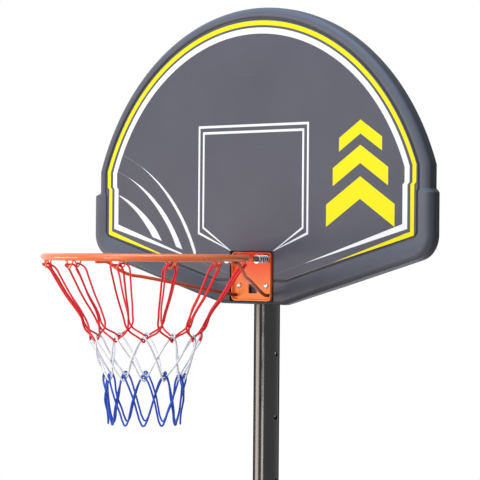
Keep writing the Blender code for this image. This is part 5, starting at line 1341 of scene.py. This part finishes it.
def build_tubes():
    bore = LOWER_RADIUS - WALL
    wall = tube_wall(LOWER_RADIUS, bore, SOCKET_FLOOR + GAP, JOINT_HEIGHT)
    lower = plain_piece("lower_tube", turned(wall, 72))
    drill(lower, 0.0053, -0.06, 0.06,
          [along_x(0, 0, SOCKET_BOLT_HEIGHT), along_x(0, 0, STRUT_BOLT_HEIGHT)])
    settle(lower, BLACK, "stand", ["pole_lower"])

    spigot, seat = bore - GAP, JOINT_HEIGHT + GAP
    foot = JOINT_HEIGHT - SPIGOT_LENGTH
    wall = [(spigot - WALL, foot), (spigot - 0.001, foot), (spigot, foot + 0.002), (spigot, seat),
            (LOWER_RADIUS - 0.0006, seat), (LOWER_RADIUS, seat + 0.0006),
            (LOWER_RADIUS, MIDDLE_TOP - 0.0004), (LOWER_RADIUS - 0.0004, MIDDLE_TOP),
            (bore, MIDDLE_TOP), (bore, seat + 0.010), (spigot - WALL, seat + 0.002)]
    middle = plain_piece("middle_tube", turned(wall, 72))
    drill(middle, LOCK_BORE, 0, 0.06, [along_x(0, 0, LOCK_HEIGHT)])
    settle(middle, BLACK, "stand", ["pole_middle"])

    wall = tube_wall(UPPER_RADIUS, UPPER_RADIUS - WALL, UPPER_BOTTOM, UPPER_TOP)
    upper = plain_piece("upper_tube", turned(wall, 72))
    shape = bmesh.new()
    for setting in range(6):
        rod(shape, 0.0055, -0.05, 0.05, along_x(0, 0, LOCK_HEIGHT + setting * HOLE_PITCH), 32)
    for height in CROSS_BOLTS:
        rod(shape, 0.0043, -0.05, 0.05, along_x(0, 0, height))
    carve(upper, shape)
    settle(upper, BLACK, "upper", ["pole_upper"])


build_tubes()

# %% [markdown]
# The base is a blow-moulded tank that is filled with water or sand. Its walls lean in a
# little so that it leaves the mould, and a broad shoulder rounds them into the deck. The
# deck has stiffening channels, a boss that takes the pole and a filler neck. Each of these
# starts from a loop of points on the deck: the flat part is filled between the loops, and
# every loop goes on down or up as bridged contours.

# %% Base tank
TANK_FRONT, TANK_REAR = -0.20, 0.82
TANK_X_FRONT, TANK_X_REAR = 0.315, 0.355
TANK_HEIGHT = 0.150
TANK_CORNER = 0.11
SHOULDER, DRAFT, FOOT = 0.045, 0.014, 0.010
FRONT_CORNER = SHOULDER + DRAFT + 0.004
BOSS_RADIUS, BOSS_TOP = 0.062, 0.195
CHANNEL_FIRST, CHANNEL_PITCH = 0.165, 0.115
CHANNEL_HALF, CHANNEL_REACH, CHANNEL_DEPTH = 0.030, 0.20, 0.028
NECK_Y, NECK_RADIUS, NECK_MOUTH, NECK_RISE = 0.66, 0.023, 0.017, 0.020
WHEEL_Y, WHEEL_Z, WHEEL_X = -0.155, 0.063, 0.266
WHEEL_RADIUS, WHEEL_WIDTH, WELL_MARGIN = 0.060, 0.036, 0.010


def channel_mouth(y):
    """The rounded slot of one deck channel."""
    half, reach, points = CHANNEL_HALF, CHANNEL_REACH - CHANNEL_HALF, []
    for side in (1, -1):
        for step in range(17):
            turn = pi * step / 16 - pi / 2
            points.append((side * (reach + half * cos(turn)), y + side * half * sin(turn)))
    return points


def wheel_side(side):
    """The place of one wheel's axis, whose own Z runs out of the tank on that side."""
    return along_x(0, WHEEL_Y, WHEEL_Z) @ Matrix.Diagonal((1, 1, side, 1))


def arc_levels(radius, count):
    """Pairs (across, along) of a quarter circle, from flat to upright."""
    return [(radius * (1 - high), radius * low) for low, high in quarter(count)]


def build_tank():
    corners = [(TANK_X_FRONT, TANK_FRONT), (TANK_X_REAR, TANK_REAR), (-TANK_X_REAR, TANK_REAR),
               (-TANK_X_FRONT, TANK_FRONT)]
    outline = round_corners(corners, [FRONT_CORNER, TANK_CORNER, TANK_CORNER, FRONT_CORNER], 14)
    levels = [(FOOT * low, FOOT * high) for low, high in quarter(5)]
    levels += [(TANK_HEIGHT - SHOULDER * high, DRAFT + SHOULDER * low) for low, high in quarter(10)]
    shape = bmesh.new()
    loops = skin(shape, [[(x, y, height) for x, y in inset_points(outline, inset)]
                         for height, inset in levels])
    shape.faces.new(loops[0])
    deck = loop_edges(shape, loops[-1])

    def feature(rings):
        """One feature of the deck: its contours, the first of which lies in the deck."""
        own = skin(shape, rings)
        shape.faces.new(own[-1])
        deck.extend(loop_edges(shape, own[0]))

    lip, floor_round = 0.005, 0.006
    for index in range(3):
        mouth = channel_mouth(CHANNEL_FIRST + CHANNEL_PITCH * index)
        profile = [(-lip + across, along) for across, along in arc_levels(lip, 4)]
        profile += [(0.007 + floor_round * low, CHANNEL_DEPTH - floor_round * high)
                    for low, high in quarter(4)]
        feature([[(x, y, TANK_HEIGHT - drop) for x, y in inset_points(mouth, inset)]
                 for inset, drop in profile])

    flare, edge, bore = 0.012, 0.004, LOWER_RADIUS + GAP
    profile = [(BOSS_RADIUS + flare - across, TANK_HEIGHT + along)
               for across, along in arc_levels(flare, 6)]
    profile += [(BOSS_RADIUS - along, BOSS_TOP - edge + across)
                for across, along in arc_levels(edge, 4)]
    profile += [(bore + 0.0015, BOSS_TOP), (bore, BOSS_TOP - 0.0015), (bore, SOCKET_FLOOR)]
    feature([[(x, y, height) for x, y in circle_points(radius)] for radius, height in profile])

    flare, edge, top = 0.0022, 0.0015, TANK_HEIGHT + NECK_RISE
    profile = [(NECK_RADIUS + flare - across, TANK_HEIGHT + along)
               for across, along in arc_levels(flare, 4)]
    profile += [(NECK_RADIUS - along, top - edge + across) for across, along in arc_levels(edge, 3)]
    profile += [(NECK_MOUTH + 0.001, top), (NECK_MOUTH, top - 0.001), (NECK_MOUTH, top - 0.035)]
    feature([[(x, y, height) for x, y in circle_points(radius, NECK_Y, 40)]
             for radius, height in profile])
    bmesh.ops.triangle_fill(shape, edges=deck, use_beauty=True)
    tank = plain_piece("tank_shell", shape)

    shape = bmesh.new()
    well, start, beyond = WHEEL_RADIUS + WELL_MARGIN, WHEEL_X - 0.004, TANK_X_REAR + 0.045
    profile = [(0, start), (well - 0.008, start), (well - 0.0023, start + 0.0023),
               (well, start + 0.008), (well, beyond), (0, beyond)]
    for side in (-1, 1):
        spin(shape, profile, 64, wheel_side(side), closed=False)
    carve(tank, shape)
    settle(tank, TANK, "stand", ["base_tank"], 38)
    flatten_shading(tank)


build_tank()

# %% [markdown]
# The filler cap screws on over the neck. Its ribs are for wet hands: a cap's outline is a
# circle that ripples, which is bridged upwards and then drawn in to a flat top.

# %% Filler cap and knob
def rippled(radius, ripple, count, per=6):
    """A round outline with soft lobes."""
    total = count * per
    return [((radius + ripple * cos(2 * pi * step / per)) * cos(2 * pi * step / total),
             (radius + ripple * cos(2 * pi * step / per)) * sin(2 * pi * step / total))
            for step in range(total)]


def build_filler_cap():
    gasket, inner, wall, thick = 0.003, NECK_RADIUS + GAP, 0.004, 0.005
    under = TANK_HEIGHT + NECK_RISE + gasket + 2 * GAP
    outer, top, bottom = inner + wall, under + thick, TANK_HEIGHT + 0.003
    outline = rippled(outer - 0.0007, 0.0007, 24, 8)
    shape = bmesh.new()

    def ring(scale, height):
        return [(x * scale, NECK_Y + y * scale, height) for x, y in outline]

    inside = circle_points(inner, NECK_Y, len(outline))
    rings = [[(x, y, under) for x, y in inside], [(x, y, bottom) for x, y in inside],
             ring(0.985, bottom), ring(1.0, bottom + 0.0008), ring(1.0, top - 0.002),
             ring(0.985, top - 0.0008), ring(0.94, top - 0.0001), ring(0.90, top), ring(0.62, top),
             ring(0.60, top - 0.0009), ring(0.20, top - 0.0009)]
    bridge(shape, rings)
    dress("cap_shell", shape, PLASTIC, "filler_cap", ["filler_cap"], 50)


def build_knob():
    """The star knob that presses the lock against the pole."""
    face, hub_radius, hub, thick, radius = 0.056, 0.013, 0.010, 0.020, 0.028
    outline = rippled(radius, 0.0035, 6, 14)
    back, front = face + hub, face + hub + thick

    def ring(scale, height):
        return [(x * scale, y * scale, height) for x, y in outline]

    collar = [(hub_radius * x / hypot(x, y), hub_radius * y / hypot(x, y)) for x, y in outline]
    rings = [[(x, y, height) for x, y in collar] for height in (face, back - 0.001)]
    rings += [ring(0.60, back), ring(0.80, back + 0.0006), ring(0.93, back + 0.0022),
              ring(0.985, back + 0.0048), ring(1.0, back + 0.008), ring(1.0, front - 0.006),
              ring(0.985, front - 0.0032), ring(0.95, front - 0.0012), ring(0.89, front - 0.0002),
              ring(0.84, front), ring(0.50, front - 0.0006), ring(0.10, front - 0.0009)]
    shape = bmesh.new()
    bridge(shape, rings)
    bmesh.ops.transform(shape, matrix=along_x(0, 0, LOCK_HEIGHT), verts=shape.verts)
    knob = plain_piece("star_knob", shape)
    drill(knob, LOCK_BORE, face - 0.005, face + 0.0143, [along_x(0, 0, LOCK_HEIGHT)])
    settle(knob, PLASTIC, "lock_knob", ["lock_knob"], 50)


build_filler_cap()
build_knob()

# %% [markdown]
# Two moulded wheels at the front edge let the stand roll when it is tipped. A wheel is one
# spun section: hub, thin web and a tyre with two grooves. Round windows lighten the web.

# %% Wheels and their caps
def build_wheels():
    half, web, hub, bore = WHEEL_WIDTH / 2, 0.005, 0.017, 0.0063
    inside, edge = WHEEL_RADIUS - 0.014, 0.002
    grooves = []
    for centre in (-0.006, 0.006):
        grooves += [(WHEEL_RADIUS, centre - 0.0016), (WHEEL_RADIUS - 0.0016, centre - 0.0009),
                    (WHEEL_RADIUS - 0.0016, centre + 0.0009), (WHEEL_RADIUS, centre + 0.0016)]
    face = [(bore, half), (hub - 0.001, half), (hub, half - 0.001), (hub, web + 0.002),
            (hub + 0.002, web), (inside - 0.002, web), (inside, web + 0.002),
            (inside, half - 0.001), (inside + 0.001, half), (WHEEL_RADIUS - edge - 0.002, half),
            (WHEEL_RADIUS - edge, half - 0.002), (WHEEL_RADIUS - 0.0005, half - 0.005)]
    profile = [(radius, -along) for radius, along in face] + grooves + face[::-1]
    ring = (hub + inside) / 2
    start, axle = WHEEL_X + WHEEL_WIDTH + GAP, WHEEL_X + WHEEL_WIDTH + 0.0053
    end = start + 0.007
    cap = [(0, axle), (bore, axle), (bore, start), (0.0105, start), (0.011, start + 0.0005),
           (0.011, end - 0.004), (0.0104, end - 0.0022), (0.0088, end - 0.0009),
           (0.006, end - 0.0002), (0, end)]
    for side, word in SIDES:
        centre = side * (WHEEL_X + half)
        place = along_x(centre, WHEEL_Y, WHEEL_Z)
        wheel = plain_piece("roller_" + word, turned(profile, 72, place))
        windows = [along_x(centre, WHEEL_Y + y, WHEEL_Z + z)
                   for y, z in circle_points(ring, count=5)]
        drill(wheel, 0.008, -half - 0.01, half + 0.01, windows, 32)
        settle(wheel, PLASTIC, "wheel_" + word, ["wheel_" + word])
        dress("hub_cap_" + word, turned(cap, 40, wheel_side(side), closed=False), PLASTIC,
              "stand", ["axle_cap_" + word])


build_wheels()

# %% [markdown]
# Two struts hold the pole upright. Each is a tube whose ends were pressed flat for a bolt.
# Sections along it change from a nearly flat bar to a circle, with a few in-between sections
# so that the squeeze looks pressed and not folded.

# %% Struts
STRUT_FOOT_X, STRUT_FOOT_Y = 0.205, 0.575


def strut_section(centre, wide, thin, half_wide, half_thin, flat, count=28):
    points = []
    power = 1 - 0.5 * flat
    for step in range(count):
        turn = 2 * pi * step / count
        across = abs(cos(turn)) ** power * (1 if cos(turn) >= 0 else -1)
        through = abs(sin(turn)) ** power * (1 if sin(turn) >= 0 else -1)
        points.append(centre + wide * (half_wide * across) + thin * (half_thin * through))
    return points


def build_struts():
    tab, half_tab, radius, length = 0.015, 0.003, 0.011, 0.036
    for side, word in SIDES:
        top = Vector((side * (LOWER_RADIUS + GAP + half_tab), 0, STRUT_BOLT_HEIGHT))
        foot = Vector((side * STRUT_FOOT_X, STRUT_FOOT_Y, TANK_HEIGHT + GAP + half_tab))
        run = foot - top
        slope = Vector((0, run.y, run.z)).normalized()
        axis, level, up = Vector((side, 0, 0)), Vector((0, 1, 0)), Vector((0, 0, 1))
        normal = slope.cross(axis).normalized()
        start = top + slope * length * 2
        end = foot - level * length * 0.9 + up * 0.012
        body = (end - start).normalized()
        across = (axis - body * axis.dot(body)).normalized()
        through = body.cross(across).normalized()
        flat = level.cross(axis)
        sections = [strut_section(top - slope * tab, axis, normal, half_tab, tab * 0.7, 1),
                    strut_section(top - slope * tab * 0.5, axis, normal, half_tab, tab, 1),
                    strut_section(top + slope * tab, axis, normal, half_tab, tab, 1),
                    strut_section(start, across, through, radius, radius, 0),
                    strut_section(end - body * 0.03, across, through, radius, radius, 0),
                    strut_section(foot - level * tab, axis, flat, tab, half_tab, 1),
                    strut_section(foot + level * tab * 0.5, axis, flat, tab, half_tab, 1),
                    strut_section(foot + level * tab, axis, flat, tab * 0.7, half_tab, 1)]
        rings = []
        for first, second in zip(sections, sections[1:]):
            rings += [[a.lerp(b, share / 5) for a, b in zip(first, second)] for share in range(5)]
        rings.append(sections[-1])
        shape = bmesh.new()
        bridge(shape, rings)
        dress("strut_tube_" + word, shape, BLACK, "stand", ["strut_" + word], 45)


build_struts()

# %% [markdown]
# Two omega brackets clamp the board to the pole. Each is a strip bent round the pole, with
# flat ears on the board. Its outline seen from above is extruded to its height, and the
# long edges are bevelled a little.

# %% Brackets
SADDLE_IN = UPPER_RADIUS + GAP
SADDLE_OUT = SADDLE_IN + 0.004
EAR_X, EAR_FRONT, EAR_BACK = 0.064, BOARD_BACK_Y + GAP, -0.0257


def build_bracket(name, node, low, high, holes, bore, cross_height):
    inner_x = sqrt(SADDLE_IN ** 2 - EAR_FRONT ** 2)
    outer_x = sqrt(SADDLE_OUT ** 2 - EAR_BACK ** 2)
    first, last = atan2(EAR_FRONT, inner_x), atan2(EAR_BACK, outer_x)

    def arc(radius, start, sweep):
        turns = [start + sweep * step / 30 for step in range(31)]
        return [(radius * cos(turn), radius * sin(turn)) for turn in turns]

    outline = [(EAR_X, EAR_FRONT), *arc(SADDLE_IN, first, pi - 2 * first), (-EAR_X, EAR_FRONT)]
    outline += [(-EAR_X, EAR_BACK), *arc(SADDLE_OUT, pi - last, 2 * last - pi), (EAR_X, EAR_BACK)]
    bracket = plain_piece(name, plate(outline, low, high, 0.0007))
    drill(bracket, bore, EAR_FRONT - 0.01, EAR_BACK + 0.006, [along_y(x, 0, z) for x, z in holes])
    drill(bracket, BOLT_BORE, -0.08, 0.08, [along_x(0, 0, cross_height)])
    settle(bracket, BLACK, "upper", [node], 40)


build_bracket("clamp_lower", "lower_bracket", RIM_HEIGHT - 0.090, RIM_HEIGHT + 0.020, bolts,
              BOLT_BORE, CROSS_BOLTS[0])
build_bracket("clamp_upper", "upper_bracket", RIM_HEIGHT + 0.255, RIM_HEIGHT + 0.325, screws,
              SCREW_BORE, CROSS_BOLTS[1])

# %% [markdown]
# Small turned parts finish the pole: the guide collar that keeps the tubes centred, the cap
# that keeps rain out, the round-headed rim bolts and the washers on the springs.

# %% Turned parts
def build_turned_parts():
    slide, bush = UPPER_RADIUS + GAP, LOWER_RADIUS - WALL - GAP
    skirt, outer = LOWER_RADIUS + GAP, LOWER_RADIUS + 0.0033
    seat, bottom = MIDDLE_TOP + GAP, MIDDLE_TOP - 0.10
    wall = [(slide, bottom), (bush - 0.0005, bottom), (bush, bottom + 0.0005), (bush, seat),
            (skirt, seat), (skirt, seat - 0.025), (outer - 0.0006, seat - 0.025),
            (outer, seat - 0.0244), (outer, seat + 0.0035), (outer - 0.0004, seat + 0.0055),
            (outer - 0.0016, seat + 0.0078), (outer - 0.0034, seat + 0.009),
            (slide + 0.001, seat + 0.009), (slide, seat + 0.008)]
    collar = plain_piece("collar_bush", turned(wall, 72))
    drill(collar, LOCK_BORE, 0, 0.036, [along_x(0, 0, LOCK_HEIGHT)])
    settle(collar, PLASTIC, "stand", ["guide_collar"])

    low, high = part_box("pole_top_cap")
    plug, edge, seat = UPPER_RADIUS - WALL - GAP, high.x, UPPER_TOP + GAP
    profile = [(0, low.z), (plug - 0.002, low.z), (plug, low.z + 0.002), (plug, seat),
               (edge - 0.0003, seat), (edge, UPPER_TOP + 0.0008)]
    rise = high.z - seat
    for step in range(1, 13):
        turn = pi / 2 * step / 12
        profile.append((edge * cos(turn) ** 0.6 if step < 12 else 0,
                        UPPER_TOP + 0.0008 + (rise - 0.0005) * sin(turn)))
    dress("pole_cap", turned(profile, 72, closed=False), PLASTIC, "upper", ["pole_top_cap"])

    tail = EAR_BACK + GAP + 0.0065 + 0.004
    under = PLATE_FACE_Y - 0.0008
    dome = [(0.0065 * sin(pi / 2 * step / 7), under - 0.004 * cos(pi / 2 * step / 7))
            for step in range(1, 8)]
    bolt = [(0, under - 0.004)] + dome
    bolt += [(0.004, under), (0.004, tail - 0.001), (0.003, tail), (0, tail)]
    back = PLATE_FACE_Y - SPRING_LENGTH
    front = back - 0.002
    washer = [(0.0043, front), (0.0106, front), (0.011, front + 0.0004), (0.011, back - 0.0004),
              (0.0106, back), (0.0043, back)]
    for side, word in SIDES:
        shape = turned(bolt, 36, along_y(side * BOLT_X, 0, BOLT_Z), closed=False)
        dress("dome_bolt_" + word, shape, ZINC, "upper", ["rim_bolt_" + word])
        shape = turned(washer, 40, along_y(side * SPRING_X, 0, SPRING_Z))
        dress("washer_" + word, shape, ZINC, "upper", ["spring_washer_" + word])


build_turned_parts()

# %% [markdown]
# Everything that isn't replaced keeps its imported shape: bolts, nuts, washers, screws, the
# axle and small moulded parts. They only need better finishes, set on their material slots.

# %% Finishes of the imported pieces
KEPT = {}


def refinish(words, finish):
    """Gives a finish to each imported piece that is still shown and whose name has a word."""
    for name, node in nodes.items():
        if not node.hide_render and name not in KEPT and any(word in name for word in words):
            for index in range(len(node.material_slots)):
                node.material_slots[index].material = finish
            KEPT[name] = finish.name


# The bolts inside the springs take the dark finish: painted shade.
refinish(("spring_bolt",), BOLT_PAINTED_SHADE)
refinish(("bolt", "nut", "washer", "screw", "axle"), ZINC)
refinish(("gasket",), RUBBER)
refinish(("bush",), PLASTIC)
refinish(("bracket", "strut", "lock_boss", "pole"), BLACK)
refinish(sorted(nodes), PLASTIC)
print("packed pieces kept:", KEPT)
